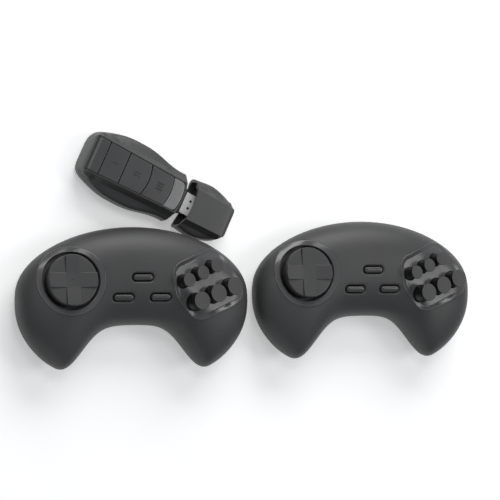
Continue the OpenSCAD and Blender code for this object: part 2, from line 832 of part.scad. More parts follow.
sides = ["left", "right"];
left_at = [left_x, -console_clear - crown - edge_y];
spots = [left_at, left_at + [pad_w + pad_gap, right_back]];
pad_pieces = concat(
    ["top_shell", "bottom_shell", "dpad_bezel", "dpad", "dpad_pivot", "dpad_membrane", "action_bezel"],
    [for (i = [1:6]) str("button_", i)],
    [for (i = [1:3]) str("menu_button_", i)],
    ["action_membrane", "circuit_boards", "battery_door", "battery_cells", "battery_contacts", "case_screws"]
);
console_pieces = [
    "console_bottom", "console_top", "badge_panel", "key_1", "key_2", "key_3", "key_mat", "signal_window",
    "console_board", "console_screws", "plug_mold", "plug_shell", "plug_tongue", "cap_shell", "cap_liner"
];

module pad_piece(name) {
    if (name == "top_shell") top_shell();
    if (name == "bottom_shell") bottom_shell();
    if (name == "dpad_bezel") dpad_bezel();
    if (name == "dpad") dpad();
    if (name == "dpad_pivot") dpad_pivot();
    if (name == "dpad_membrane") dpad_membrane();
    if (name == "action_bezel") action_bezel();
    for (i = [1:6]) if (name == str("button_", i)) action_button(i - 1);
    for (i = [1:3]) if (name == str("menu_button_", i)) menu_button(i - 1);
    if (name == "action_membrane") action_membrane();
    if (name == "circuit_boards") circuit_boards();
    if (name == "battery_door") battery_door();
    if (name == "battery_cells") battery_cells();
    if (name == "battery_contacts") battery_contacts();
    if (name == "case_screws") case_screws();
}

for (k = [0, 1])
    for (p = pad_pieces)
        place(spots[k]) pad_piece(p);
on_console() console_bottom();
on_console() console_top();
on_console() badge_panel();
for (i = [1:3]) on_console() key(i);
on_console() key_mat();
on_console() signal_window();
on_console() console_board();
on_console() console_screws();
on_console() plug_mold();
on_console() plug_shell();
on_console() plug_tongue();
on_console() cap_shell();
on_console() cap_liner();
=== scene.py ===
# %% [markdown]
# # A stick console and its two wireless controllers
# This notebook dresses a finished mechanical model. The model comes in as a fixed frame: every piece
# built below is placed on it, in the same coordinates, and moves with one of its bodies.

# %% Load the frame
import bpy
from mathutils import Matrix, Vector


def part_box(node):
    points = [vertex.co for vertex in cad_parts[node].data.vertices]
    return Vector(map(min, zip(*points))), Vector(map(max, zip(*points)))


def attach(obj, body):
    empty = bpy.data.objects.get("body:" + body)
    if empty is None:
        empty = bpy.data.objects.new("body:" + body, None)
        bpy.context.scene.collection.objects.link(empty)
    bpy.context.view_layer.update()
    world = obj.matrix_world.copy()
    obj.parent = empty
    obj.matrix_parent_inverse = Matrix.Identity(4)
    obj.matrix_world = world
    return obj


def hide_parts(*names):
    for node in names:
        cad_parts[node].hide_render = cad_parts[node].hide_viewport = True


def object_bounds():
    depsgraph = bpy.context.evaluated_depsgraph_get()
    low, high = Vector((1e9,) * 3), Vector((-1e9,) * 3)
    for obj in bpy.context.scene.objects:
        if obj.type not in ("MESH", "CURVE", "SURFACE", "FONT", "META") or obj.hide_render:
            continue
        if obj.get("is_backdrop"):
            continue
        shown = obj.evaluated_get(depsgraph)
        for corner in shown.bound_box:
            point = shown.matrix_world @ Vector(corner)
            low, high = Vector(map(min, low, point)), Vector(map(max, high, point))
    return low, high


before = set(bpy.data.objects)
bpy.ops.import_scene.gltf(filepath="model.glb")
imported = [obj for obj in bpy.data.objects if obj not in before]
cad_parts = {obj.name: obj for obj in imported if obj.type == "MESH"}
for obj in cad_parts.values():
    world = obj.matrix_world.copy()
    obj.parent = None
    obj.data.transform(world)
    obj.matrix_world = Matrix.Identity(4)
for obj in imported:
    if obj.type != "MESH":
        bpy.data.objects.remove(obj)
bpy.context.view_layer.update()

import bmesh
import bpy
import numpy as np
from mathutils import Matrix, Vector

MM = 0.001
SIDES = ("left", "right")

# %% [markdown]
# ## Places
# A controller has tilted controls, and the console lies askew on the table, so each piece is easiest to
# draw in a frame of its own, in millimetres. One small class holds such a frame and takes points out of it
# into the shared frame. Parenting empties would do too, but plain numbers are easier to check.

# %% Local frames
def turn(axis, degrees):
    """A rotation matrix about X, Y or Z."""
    c, s = np.cos(np.radians(degrees)), np.sin(np.radians(degrees))
    i, j = {"X": (1, 2), "Y": (2, 0), "Z": (0, 1)}[axis]
    matrix = np.eye(3)
    matrix[i, i] = matrix[j, j] = c
    matrix[i, j], matrix[j, i] = -s, s
    return matrix


class Place:
    """A local frame in millimetres: where its origin is and how its axes lie."""

    def __init__(self, origin=(0, 0, 0), axes=np.eye(3)):
        self.origin, self.axes = np.array(origin, float), axes

    def inner(self, origin, axes=np.eye(3)):
        """A frame given in this one's own coordinates."""
        return Place(self.out(origin), self.axes @ axes)

    def out(self, points):
        """Local points, as millimetres in the shared frame."""
        return np.asarray(points, float) @ self.axes.T + self.origin


# %% [markdown]
# ## From points to pieces
# Every mesh here is a set of rings joined by quads: a controller's body is rings along its length, a button
# is rings up its side. Blender's own lathe and loft tools would need helper curves, while rings of points
# keep the shape in a formula. One class gathers points and faces, and one function makes the object.

# %% A form made of rings
class Form:
    """Points and faces gathered for one closed mesh. A finish is the index of a material."""

    def __init__(self):
        self.points, self.faces, self.finish, self.count = [], [], [], 0

    def add(self, points):
        """Adds points and returns the number of the first."""
        first = self.count
        self.points.append(np.asarray(points, float).reshape(-1, 3))
        self.count += len(self.points[-1])
        return first

    def face(self, corners, finish=0):
        self.faces.append([int(c) for c in corners])
        self.finish.append(finish)

    def rings(self, rings, start="flat", end="flat", loop=False, finish=0):
        """Joins rings of equally many points by quads. Each end is flat, open, or a point in space."""
        size = len(rings[0])
        firsts = [self.add(ring) for ring in rings]
        finishes = finish if hasattr(finish, "__len__") else [finish] * len(rings)
        pairs = list(zip(firsts, firsts[1:], finishes))
        if loop:
            pairs.append((firsts[-1], firsts[0], finishes[-1]))
        for a, b, index in pairs:
            for k in range(size):
                n = (k + 1) % size
                self.face((a + k, a + n, b + n, b + k), index)
        for first, kind, index in ((firsts[0], start, finishes[0]), (firsts[-1], end, finishes[-1])):
            if loop or isinstance(kind, str) and kind == "open":
                continue
            if isinstance(kind, str):
                self.face(range(first, first + size), index)
            else:
                tip = self.add([kind])
                for k in range(size):
                    self.face((first + k, first + (k + 1) % size, tip), index)
        return self


# %% A piece made from a form
def make_object(name, form, place, sharp=32):
    """A mesh object from a form, with outward faces, smooth but for edges sharper than the given angle."""
    mesh = bpy.data.meshes.new(name)
    mesh.from_pydata((place.out(np.concatenate(form.points)) * MM).tolist(), [], form.faces)
    mesh.polygons.foreach_set("material_index", form.finish)
    piece = bpy.data.objects.new(name, mesh)
    bpy.context.scene.collection.objects.link(piece)
    tidy = bmesh.new()
    tidy.from_mesh(mesh)
    bmesh.ops.remove_doubles(tidy, verts=tidy.verts, dist=1e-7)
    bmesh.ops.recalc_face_normals(tidy, faces=tidy.faces)
    tidy.to_mesh(mesh)
    tidy.free()
    smooth(piece, sharp)
    return piece


def smooth(piece, sharp=32):
    piece.data.shade_smooth()
    piece.data.set_sharp_from_angle(angle=np.radians(sharp))


def paint(piece, place, index, test):
    """Gives a finish's index to the faces whose middle and normal, seen from a place, pass a test."""
    for face in piece.data.polygons:
        middle = (np.array(face.center) / MM - place.origin) @ place.axes
        if test(middle, np.array(face.normal) @ place.axes):
            face.material_index = index


def dress(piece, body, materials, replaces=()):
    """Gives a piece its finishes, the body that it moves with and the CAD nodes that it stands for."""
    finishes = [face.material_index for face in piece.data.polygons]
    piece.data.materials.clear()
    for material in materials:
        piece.data.materials.append(material)
    piece.data.polygons.foreach_set("material_index", finishes)
    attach(piece, body)
    if replaces:
        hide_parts(*replaces)
    return piece


# %% [markdown]
# ## Cutting
# The holes in the shells are cut with booleans, as a mould's inserts do. A boolean modifier left on the
# object would work too, but applying it at once keeps the meshes plain and lets the cutters be deleted.

# %% Booleans, applied at once
def cut(piece, *tools, operation="DIFFERENCE", sharp=32):
    """Takes the tools away from the piece, or keeps what is inside them, and deletes the tools."""
    for tool in tools:
        step = piece.modifiers.new("cut", "BOOLEAN")
        step.operation, step.solver, step.object = operation, "MANIFOLD", tool
    bpy.context.view_layer.update()
    shaped = bpy.data.meshes.new_from_object(piece.evaluated_get(bpy.context.evaluated_depsgraph_get()))
    piece.modifiers.clear()
    piece.data = shaped
    for tool in tools:
        bpy.data.objects.remove(tool)
    smooth(piece, sharp)
    return piece


# %% [markdown]
# ## Outlines
# Round and rounded pieces share one recipe: an outline with a direction out of it at every point, and a
# profile that says how far out and how high each ring lies. Moving the outline along its own normals
# keeps every ring the same distance from the last, which scaling it would not.

# %% Outlines and profiles
def circle_outline(radius, count=96):
    angle = np.linspace(0, 2 * np.pi, count, endpoint=False)
    normal = np.stack([np.cos(angle), np.sin(angle)], axis=1)
    return radius * normal, normal


def hull_outline(circles, arc_points=18, side_points=14):
    """The outline around circles (x, y, radius), given anticlockwise: an arc round each, and sides between."""
    spots, ways = [], []
    count = len(circles)
    edges = []
    for k in range(count):
        (x0, y0, r0), (x1, y1, r1) = circles[k], circles[(k + 1) % count]
        along = np.array([x1 - x0, y1 - y0])
        length = np.hypot(*along)
        lean = np.arcsin((r0 - r1) / length)
        edges.append(np.arctan2(along[1], along[0]) - np.pi / 2 + lean)
    for k in range(count):
        x, y, r = circles[k]
        first, last = edges[k - 1], edges[k]
        last = first + (last - first) % (2 * np.pi)
        for angle in np.linspace(first, last, arc_points):
            way = np.array([np.cos(angle), np.sin(angle)])
            spots.append(np.array([x, y]) + r * way)
            ways.append(way)
        nx, ny, nr = circles[(k + 1) % count]
        way = ways[-1]
        goal = np.array([nx, ny]) + nr * way
        base = spots[-1]
        for share in np.linspace(0, 1, side_points + 2)[1:-1]:
            spots.append(base + share * (goal - base))
            ways.append(way)
    return np.array(spots), np.array(ways)


def round_over(margin, height, radius, steps=5):
    """Profile points of a rounded top edge, from the side up to the top: (margin, height) pairs."""
    turns = np.linspace(0, np.pi / 2, steps)
    return [(margin - radius * (1 - np.cos(a)), height - radius * (1 - np.sin(a))) for a in turns]


def sweep(outline, profile):
    """Rings of an outline: each profile entry is (margin, height)."""
    spots, ways = outline
    return [np.column_stack([spots + margin * ways, np.full(len(spots), float(height))]) for margin, height in profile]

# %% [markdown]
# ## Shader maths
# A finish is built from numbers that vary over the surface. Wiring Math nodes by hand hides the formula,
# so a small class wraps a socket and turns Python operators into nodes: `0.5 + 0.1 * grain` is two Math
# nodes. Its `node` method adds any other kind.

# %% Socket values
class Shade:
    """A value in a shader's node tree."""

    def __init__(self, tree, socket=None):
        self.tree, self.socket = tree, socket

    def node(self, kind, settings=None, output=0, **values):
        """Adds a node: its settings first, then its sockets by name, with _ for a space or by number."""
        made = self.tree.nodes.new(kind)
        for name, setting in (settings or {}).items():
            setattr(made, name, setting)
        for name, value in values.items():
            place = int(name[1:]) if name[1:].isdigit() else name.replace("_", " ")
            if isinstance(value, Shade):
                self.tree.links.new(value.socket, made.inputs[place])
            else:
                made.inputs[place].default_value = value
        return Shade(self.tree, made.outputs[output])

    def math(self, operation, first, second):
        return self.node("ShaderNodeMath", {"operation": operation}, _0=first, _1=second)

    def __add__(self, other):
        return self.math("ADD", self, other)

    def __sub__(self, other):
        return self.math("SUBTRACT", self, other)

    def __rsub__(self, other):
        return self.math("SUBTRACT", other, self)

    def __mul__(self, other):
        return self.math("MULTIPLY", self, other)

    __radd__, __rmul__ = __add__, __mul__

    def between(self, low, high):
        """0 below low, 1 above high, and a smooth step between them."""
        step = {"interpolation_type": "SMOOTHSTEP"}
        return self.node("ShaderNodeMapRange", step, Value=self, From_Min=low, From_Max=high)

    def noise(self, size, detail=2.0, where=None):
        """Noise with spots of the given size in millimetres."""
        where = where or self.spot()
        return self.node("ShaderNodeTexNoise", Vector=where, Scale=1 / (size * MM), Detail=detail)

    def spot(self):
        """Where a point is on its piece, which moves with the piece."""
        return self.node("ShaderNodeTexCoord", output=3)

    def blend(self, mask, first, second):
        """A colour that goes from first to second as the mask goes from 0 to 1."""
        return self.node("ShaderNodeMix", {"data_type": "RGBA"}, output=2, _0=mask, _6=first, _7=second)

    def bump(self, depth, height):
        """A normal from a height between 0 and 1 and its depth in millimetres."""
        return self.node("ShaderNodeBump", Strength=1.0, Distance=depth * MM, Height=height)


def finish(name, **constants):
    """A new material. Returns it, a Shade to build with, and a function that links values to its shader."""
    material = bpy.data.materials.new(name)
    material.use_nodes = True
    shader = material.node_tree.nodes["Principled BSDF"]
    for socket, value in constants.items():
        shader.inputs[socket.replace("_", " ")].default_value = value

    def feed(**links):
        for socket, value in links.items():
            material.node_tree.links.new(value.socket, shader.inputs[socket.replace("_", " ")])

    return material, Shade(material.node_tree), feed


def grey(level, tint=(1.0, 1.0, 1.0)):
    """A colour from a screen level between 0 and 1, as a linear value."""
    linear = level / 12.92 if level < 0.04045 else ((level + 0.055) / 1.055) ** 2.4
    return tuple(linear * t for t in tint) + (1.0,)


# %% [markdown]
# ## Moulded plastic
# Nearly everything here is injection-moulded. The mould's surface is etched, which leaves a pattern of
# fine, soft pits a quarter of a millimetre across, and hands leave faint patches that shine a little more.
# The ring, the button panel, the menu buttons and the console's rails are polished more than the cases.
# Real pits would need millions of faces, so a bump from noise draws them, and a slow noise moves the
# roughness. One recipe serves every plastic piece, with its own colour, shine and depth of texture.

# %% Plastics
def plastic(name, level, roughness, pits=0.25, depth=0.012, tint=(1.0, 1.0, 1.02), uneven=0.06):
    material, s, feed = finish(name, IOR=1.5)
    slow = s.noise(22.0, 3.0)
    fine = s.noise(pits, 1.0)
    specks = s.noise(pits * 0.6, 0.0).between(0.5, 0.78)
    feed(
        Base_Color=s.blend(
            0.65 * slow.between(0.3, 0.7) + 0.35 * specks, grey(level * 0.955, tint), grey(level * 1.05, tint)
        ),
        Roughness=roughness + uneven * (slow - 0.5) + 0.5 * uneven * (fine - 0.5),
        Normal=s.bump(depth, fine),
    )
    return material


case_plastic = plastic("case_plastic", 0.240, 0.47, depth=0.016)
bezel_plastic = plastic("bezel_plastic", 0.330, 0.20, pits=0.8, depth=0.002, uneven=0.04)
ring_plastic = plastic("ring_plastic", 0.330, 0.18, pits=0.8, depth=0.002, uneven=0.04)
cross_plastic = plastic("cross_plastic", 0.245, 0.42, depth=0.010)
button_top = plastic("button_top", 0.245, 0.50, depth=0.008)
# The buttons' side finish: the same plastic painted nearly black, a painted shade.
button_shaded_side = plastic("button_shaded_side", 0.030, 0.40, pits=0.5, depth=0.003)
menu_plastic = plastic("menu_plastic", 0.250, 0.30, depth=0.008)
door_plastic = plastic("door_plastic", 0.238, 0.50, depth=0.018)
console_plastic = plastic("console_plastic", 0.245, 0.40, depth=0.010)
rail_plastic = plastic("rail_plastic", 0.190, 0.30, depth=0.005)
key_plastic = plastic("key_plastic", 0.275, 0.33, depth=0.006)
cap_plastic = plastic("cap_plastic", 0.275, 0.38, depth=0.010)
mould_plastic = plastic("mould_plastic", 0.080, 0.46, pits=0.4, depth=0.010)
print("plastics:", len(bpy.data.materials))

# %% [markdown]
# ## Metals, rubber and the window
# The video plug's shell is stamped and gilded steel, with rolling marks along it. The contacts and screws
# are nickel. The sheets under the buttons are silicone rubber, which is soft-looking and has no gloss. The
# plug's broad faces get a painted highlight: a pale, nearly white finish with little metal in it, for the
# glare on the gilt. The console's small window is smoked plastic over a lamp, so a clear coat
# lies over a milky grey.

# %% Other finishes
def metal(name, colour, roughness, marks=(3.0, 0.15, 0.15), depth=0.003, metallic=1.0):
    """Rolled or drawn metal, with fine marks stretched along one axis, each mark's size in millimetres."""
    material, s, feed = finish(name, Metallic=metallic)
    stretched = s.node("ShaderNodeMapping", Vector=s.spot(), Scale=[1 / (m * MM) for m in marks])
    lines = s.noise(1 / MM, 2.0, where=stretched)
    stain = s.noise(4.0, 2.0).between(0.35, 0.75)
    feed(
        Base_Color=s.blend(stain, tuple(0.93 * c for c in colour) + (1.0,), tuple(colour) + (1.0,)),
        Roughness=roughness + 0.10 * (lines - 0.5) + 0.04 * stain,
        Normal=s.bump(depth, lines),
    )
    return material


plug_gilt = metal("plug_gilt", (0.95, 0.78, 0.42), 0.24)
# A pale, nearly white copy of the gilt for the plug's broad faces: a painted highlight.
plug_painted_glare = metal("plug_painted_glare", (0.97, 0.97, 0.95), 0.42, metallic=0.25)
nickel = metal("nickel", (0.72, 0.70, 0.67), 0.26, marks=(0.2, 0.2, 2.0))


def rubber(name, level):
    material, s, feed = finish(name, IOR=1.42)
    dust = s.noise(1.5, 4.0)
    feed(
        Base_Color=s.blend(dust.between(0.35, 0.7), grey(level * 0.94), grey(level * 1.04)),
        Roughness=0.66 + 0.1 * dust,
        Normal=s.bump(0.03, dust),
    )
    return material


sheet_rubber = rubber("sheet_rubber", 0.56)
mat_rubber = rubber("mat_rubber", 0.16)


def smoked_window():
    material, s, feed = finish("smoked_window", IOR=1.5, Coat_Weight=0.6, Coat_Roughness=0.06)
    haze = s.noise(3.0, 2.0)
    feed(
        Base_Color=s.blend(haze.between(0.2, 0.8), grey(0.50), grey(0.52)),
        Roughness=0.16 + 0.06 * haze,
        Normal=s.bump(0.002, haze),
    )
    return material


window_plastic = smoked_window()


def circuit_board():
    """Green lacquer over copper tracks, with a faint weave of the glass cloth under it."""
    material, s, feed = finish("circuit_board", IOR=1.5)
    cells = s.node("ShaderNodeTexVoronoi", {"distance": "CHEBYCHEV", "feature": "DISTANCE_TO_EDGE"},
                   Vector=s.spot(), Scale=1 / (2.4 * MM))
    tracks = 1 - cells.between(0.04, 0.07)
    weave = s.noise(0.4, 1.0)
    feed(
        Base_Color=s.blend(tracks, (0.012, 0.070, 0.028, 1.0), (0.030, 0.135, 0.052, 1.0)),
        Roughness=0.30 + 0.12 * weave,
        Normal=s.bump(0.03, tracks + 0.15 * weave),
    )
    return material


def cell_sleeve():
    """A battery cell's sleeve: a thin copper-coloured film over steel."""
    material, s, feed = finish("cell_sleeve", IOR=1.48, Coat_Weight=0.4, Coat_Roughness=0.2)
    scuff = s.noise(3.0, 4.0)
    feed(
        Base_Color=s.blend(scuff.between(0.3, 0.8), (0.50, 0.27, 0.09, 1.0), (0.58, 0.33, 0.12, 1.0)),
        Roughness=0.28 + 0.2 * scuff,
        Metallic=0.55 + 0.2 * scuff,
    )
    return material


board_lacquer = circuit_board()
sleeve = cell_sleeve()
print("finishes:", len(bpy.data.materials))

# %% [markdown]
# ## The controller's skin
# The body is one soft shape with no flat or straight part: an arched back, a saddle in front and two
# grips. It could be sculpted, but then no control would fit it exactly. So it is a formula: sections
# across X, each a rounded shape between an upper and a lower outline, with a thickness that falls to
# nothing at the ends. Its width and place come from the frame.

# %% Outlines and thickness
low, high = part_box("left_top_shell")
PAD_W = (high.x - low.x) / MM
EDGE_Y, CROWN, CROWN_DIP, SADDLE = 1.7, 40.7, 0.8, 18.7
GRIP_DROP, GRIP_X, GRIP_INNER, GRIP_OUTER = 35.0, 49.6, 19.4, 56.0
PAD_T, WAIST_T, PAD_WALL, SECTION_N, TAPER_N = 20.0, 3.5, 2.0, 2.2, 0.8
FOOT_Z, HEIGHT_REF = 15.2, 30.0


def outline_top(f):
    return EDGE_Y + np.cos(f) * (CROWN + CROWN_DIP * (np.cos(2 * f) - 1))


def outline_low(f):
    side = np.abs(PAD_W / 2 * np.sin(f)) - GRIP_X
    span = np.where(side < 0, GRIP_INNER, GRIP_OUTER)
    edge = np.maximum(np.cos(f), 0)
    return EDGE_Y - edge * SADDLE - GRIP_DROP * np.sqrt(edge) * np.exp(-((side / span) ** 2))


def thickness(f):
    return (PAD_T - WAIST_T * np.cos(2 * f)) * np.maximum(np.cos(f), 0) ** TAPER_N


def power(v, e):
    return np.sign(v) * np.abs(v) ** e


def skin(x, y):
    """Height of the body's skin above the parting plane, and a fall below it outside the outline."""
    f = np.arcsin(np.clip(2 * x / PAD_W, -1, 1))
    top, bottom = outline_top(f), outline_low(f)
    across = np.abs(2 * y - top - bottom) / np.maximum(top - bottom, 1e-6)
    z = thickness(f) * np.maximum(1 - across**SECTION_N, 0) ** (1 / SECTION_N)
    return np.where(across < 1, z, PAD_T * (1 - across))


def skin_over(place, x, y):
    """How far the skin lies above a tilted plane, along that plane's own upward axis."""
    below, above = np.full(np.shape(x), -15.0), np.full(np.shape(x), 15.0)
    for _ in range(36):
        middle = (below + above) / 2
        p = place.out(np.stack([x, y, middle], axis=-1))
        inside = p[..., 2] < skin(p[..., 0], p[..., 1])
        below, above = np.where(inside, middle, below), np.where(inside, above, middle)
    return (below + above) / 2


pads = {}
for side in SIDES:
    low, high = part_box(f"{side}_top_shell")
    pads[side] = Place((np.array([(low.x + high.x) / 2, high.y, low.z])) / MM - (0, EDGE_Y + CROWN, 0))
print(f"controllers {PAD_W:.1f} mm wide, {thickness(0.0) + FOOT_Z:.1f} mm high")

# %% [markdown]
# ## Where the controls sit
# The direction pad and the panel of action buttons stand on the skin and lean with it: back, away from the
# player, and outwards. Each gets a local frame, whose floor is where its axis meets the skin.

# %% Frames of the controls
def on_skin(x, y, axes):
    return Place((x, y, float(skin(np.float64(x), np.float64(y)))), axes)


DPAD = on_skin(-45.0, 10.5, turn("Y", -2) @ turn("X", -8))
ACTION = on_skin(42.4, 8.4, turn("Y", 7) @ turn("X", -7) @ turn("Z", 20))
LARGE_R, LARGE_PITCH, SMALL_R, SMALL_PITCH = 5.5, 12.8, 4.2, 10.9
SMALL_ALONG, SMALL_ACROSS = SMALL_PITCH * np.cos(np.radians(3.5)), SMALL_PITCH * np.sin(np.radians(3.5))
BUTTONS = [(1.7 + i * LARGE_PITCH, -7.9, LARGE_R) for i in (-1, 0, 1)]
BUTTONS += [(-3.5 + i * SMALL_ALONG, 7.4 + i * SMALL_ACROSS, SMALL_R) for i in (-1, 0, 1)]
MENU_SPOTS = [(0.0, 12.1, 0), (-12.1, 0.0, 8), (12.1, 0.0, 8)]
MENU = [on_skin(x, y, turn("X", lean)) for x, y, lean in MENU_SPOTS]
MENU_L, MENU_W, SLOT_GAP, MENU_PROUD = 12.6, 3.6, 0.6, 0.7
SCREWS = [(sx * x, y) for x, y in ((20, 32), (50, -24)) for sx in (-1, 1)]
# Heights along the controls' own axes.
RING_R, HOLE_R, RING_BASE, RING_LIP = 21.2, 17.5, -10.5, -5.6
PANEL_Z, PANEL_T, SEAT, RIM_WALL = -1.8, 2.0, 8.0, 1.2
# Arcs of the panel's outline: the button each goes with, along, across, and growth of its radius.
PANEL_ARCS = [(0, 3.6, -2.4, 4.5), (2, 0.3, -1.8, 4.4), (5, 2.6, 0.9, 6.1), (3, 2.6, 2.6, 5.0), (3, 1.9, -5.8, 5.1)]


def at(side, local):
    """A control's frame on one of the two controllers."""
    return pads[side].inner(local.origin, local.axes)


def panel_outline(**counts):
    arcs = [(BUTTONS[k][0] + u, BUTTONS[k][1] + v, BUTTONS[k][2] + grow) for k, u, v, grow in PANEL_ARCS]
    return hull_outline(arcs, **counts)


def slot_outline(length, width):
    ends = (length - width) / 2
    return hull_outline([(-ends, 0, width / 2), (ends, 0, width / 2)])


# %% [markdown]
# ## The controller's shells
# The case is two shells that meet at a parting line. Each is a half of the skin formula, hollowed by the
# same formula one wall further in, with the openings cut through it. The first row of points lies a
# little inside the parting line, so the two shells leave the fine groove that real ones have.

# %% A half of the body
GROOVE = 0.25
STATIONS, ROWS = 150, 72


def body_ring(f, angles, inside=0.0, groove=0.0):
    """One section: at station f, over the given angles round it, some way inside the skin."""
    top, bottom = outline_top(f), outline_low(f)
    shrink = 1 - inside / HEIGHT_REF
    y = (top + bottom) / 2 + (top - bottom) / 2 * shrink * power(np.cos(angles), 2 / SECTION_N)
    z = thickness(f) * (1 - inside / (PAD_T - WAIST_T)) * power(np.sin(angles), 2 / SECTION_N)
    x = np.full_like(y, (PAD_W / 2 - inside) * np.sin(f))
    if groove:
        y[0] -= groove
        y[-1] += groove
        x[[0, -1]] -= groove * np.sin(f) * 0.5
    return np.column_stack([x, y, z])


def station_angles(count):
    """Angles from one end of the body to the other, closer together towards the ends."""
    return np.pi / 2 * np.sin(np.linspace(-1, 1, count) * np.pi / 2)[1:-1]


def half_body(up):
    """The upper or lower half as a solid, with its parting face at height 0."""
    close = np.radians(0.7)
    angles = np.concatenate([[0.0], np.linspace(close, np.pi - close, ROWS), [np.pi]])
    angles = angles * (1 if up else -1)
    rings = [body_ring(f, angles, groove=min(GROOVE, 2 * np.cos(f))) for f in station_angles(STATIONS)]
    tip = (PAD_W / 2 - GROOVE, EDGE_Y, 0)
    return Form().rings(rings, start=(-tip[0], EDGE_Y, 0), end=tip)


def inner_body(inside, stations=70, rows=56):
    angles = np.linspace(0, 2 * np.pi, rows, endpoint=False)
    rings = [body_ring(f, angles, inside=inside) for f in station_angles(stations)]
    tip = PAD_W / 2 - inside
    return Form().rings(rings, start=(-tip, EDGE_Y, 0), end=(tip, EDGE_Y, 0))


def block(x0, x1, y0, y1, z0, z1):
    """A box, for cutting only."""
    square = [(x0, y0), (x1, y0), (x1, y1), (x0, y1)]
    return Form().rings([[(x, y, z) for x, y in square] for z in (z0, z1)])


def post(x, y, radius, z0, z1, count=32):
    """A round solid, for pins, posts and holes."""
    ring = (x, y) + radius * circle_outline(1.0, count)[0]
    return Form().rings([np.column_stack([ring, np.full(count, z)]) for z in (z0, z1)])


# %% [markdown]
# The upper shell takes the ring, the button panel and the three menu buttons. The menu buttons lie in
# slots whose edges are drawn down softly, so each slot is a stack of outlines that widens towards the
# skin. A straight cut with a bevel would leave a hard line there.

# %% The upper shell
WALL_DEEP, SEAT_GAP = 9.0, 0.12
BOSS_R, SCREW_R, SCREW_SEAT = 3.2, 1.4, 9.5
SLOT_FLARE = [(0.0, -WALL_DEEP), (0.0, -1.3), (0.12, -0.75), (0.4, -0.35), (0.85, -0.08), (1.25, 0.03), (1.5, 3.0)]


def slot_cutter(k):
    outline = slot_outline(MENU_L + 2 * SLOT_GAP, MENU_W + 2 * SLOT_GAP)
    spots, ways = outline
    rings = []
    for margin, height in SLOT_FLARE:
        flat = spots + margin * ways
        lift = skin_over(MENU[k], flat[:, 0], flat[:, 1]) if height > -1 else 0
        rings.append(np.column_stack([flat, np.full(len(flat), height) + lift]))
    return Form().rings(rings)


def upper_shell(side):
    place = pads[side]
    shell = make_object(f"{side}_case_top", half_body(True), place)
    tools = [make_object("inner", inner_body(PAD_WALL), place)]
    ring_hole = sweep(circle_outline(RING_R + SEAT_GAP), [(0, RING_BASE - 1), (0, 14)])
    tools.append(make_object("ring_hole", Form().rings(ring_hole), at(side, DPAD)))
    panel_hole = sweep(panel_outline(), [(SEAT_GAP, -SEAT), (SEAT_GAP, 14)])
    tools.append(make_object("panel_hole", Form().rings(panel_hole), at(side, ACTION)))
    for k in range(3):
        tools.append(make_object("slot", slot_cutter(k), at(side, MENU[k])))
    cut(shell, *tools, sharp=38)
    return dress(shell, f"{side}_pad", [case_plastic], [f"{side}_top_shell"])


for side in SIDES:
    shell = upper_shell(side)
    print(shell.name, len(shell.data.polygons), "faces")

# %% [markdown]
# The lower shell ends in a flat foot, so that the controller stands on a table. It holds the battery bay,
# which a door closes from below, and four deep screw wells. It is cut from the lower half in the same way.

# %% The lower shell
DOOR_L, DOOR_W, DOOR_T, DOOR_TAIL, LEDGE = 54.0, 25.0, 1.2, 6.0, 1.4
RUNNER_W, RUNNER_T, DOOR_GAP, FLOOR_T = 0.9, 0.7, 0.15, 2.4
HEAD_R = 2.5
DOOR_Y = (outline_top(0.0) + outline_low(0.0)) / 2
FAR = 60.0


def door_block(grow, tail, z0, z1):
    half_l, half_w = DOOR_L / 2 + grow, DOOR_W / 2 + grow
    return block(-half_l, half_l, DOOR_Y - half_w, DOOR_Y + half_w + tail, z0, z1)


def door_runners(grow, tail, gap):
    z0 = -FOOT_Z + DOOR_T - RUNNER_T
    half = DOOR_L / 2 + RUNNER_W + grow
    return block(-half, half, DOOR_Y - DOOR_W / 2 + 1, DOOR_Y + DOOR_W / 2 - 1 + tail, z0 - gap, z0 + RUNNER_T + gap)


def lower_shell(side):
    place = pads[side]
    shell = make_object(f"{side}_case_bottom", half_body(False), place)
    room = make_object("inner", inner_body(PAD_WALL), place)
    cut(room, make_object("floor", block(-FAR, FAR, -FAR, FAR, -FAR, -FOOT_Z + FLOOR_T), place))
    tools = [room, make_object("foot", block(-FAR * 2, FAR * 2, -FAR * 2, FAR * 2, -FAR, -FOOT_Z), place)]
    tools.append(make_object("door", door_block(DOOR_GAP, FAR, -FOOT_Z - 1, -FOOT_Z + DOOR_T + 0.05), place))
    tools.append(make_object("runners", door_runners(DOOR_GAP, FAR, 0.05), place))
    tools.append(make_object("bay", door_block(-LEDGE, 0, -FOOT_Z - 1, 0), place))
    cut(shell, *tools)
    bosses = [make_object("boss", post(x, y, BOSS_R, -FOOT_Z + 1, -0.3), place) for x, y in SCREWS]
    for boss in bosses:
        cut(boss, make_object("limit", inner_body(PAD_WALL / 2), place), operation="INTERSECT")
        cut(shell, boss, operation="UNION")
    wells = [make_object("well", post(x, y, HEAD_R + 0.25, -FOOT_Z - 1, -SCREW_SEAT), place) for x, y in SCREWS]
    bores = [make_object("bore", post(x, y, SCREW_R, -FOOT_Z - 1, 1), place) for x, y in SCREWS]
    cut(shell, *wells, *bores, sharp=38)
    return dress(shell, f"{side}_pad", [case_plastic], [f"{side}_bottom_shell"])


for side in SIDES:
    shell = lower_shell(side)
    print(shell.name, len(shell.data.polygons), "faces")

# %% [markdown]
# ## The direction pad
# A ring frames the pad. On the real controller it is a separate, glossier part. Its crest stands just above
# the case near its outer edge, and from there its top slopes down and inwards like a shallow funnel, which
# catches the light. A lathe would turn it level, but here each of its rings also follows the skin around it,
# so it stays even although the case curves away below it.

# %% The ring around the direction pad
RING_PROFILE = [(21.2, -0.2), (21.2, 0.0), (21.1, 0.13), (20.92, 0.2), (20.72, 0.19), (20.5, 0.11), (18.1, -0.48),
                (17.85, -0.56), (17.65, -0.7), (17.55, -0.9), (17.5, -1.3)]


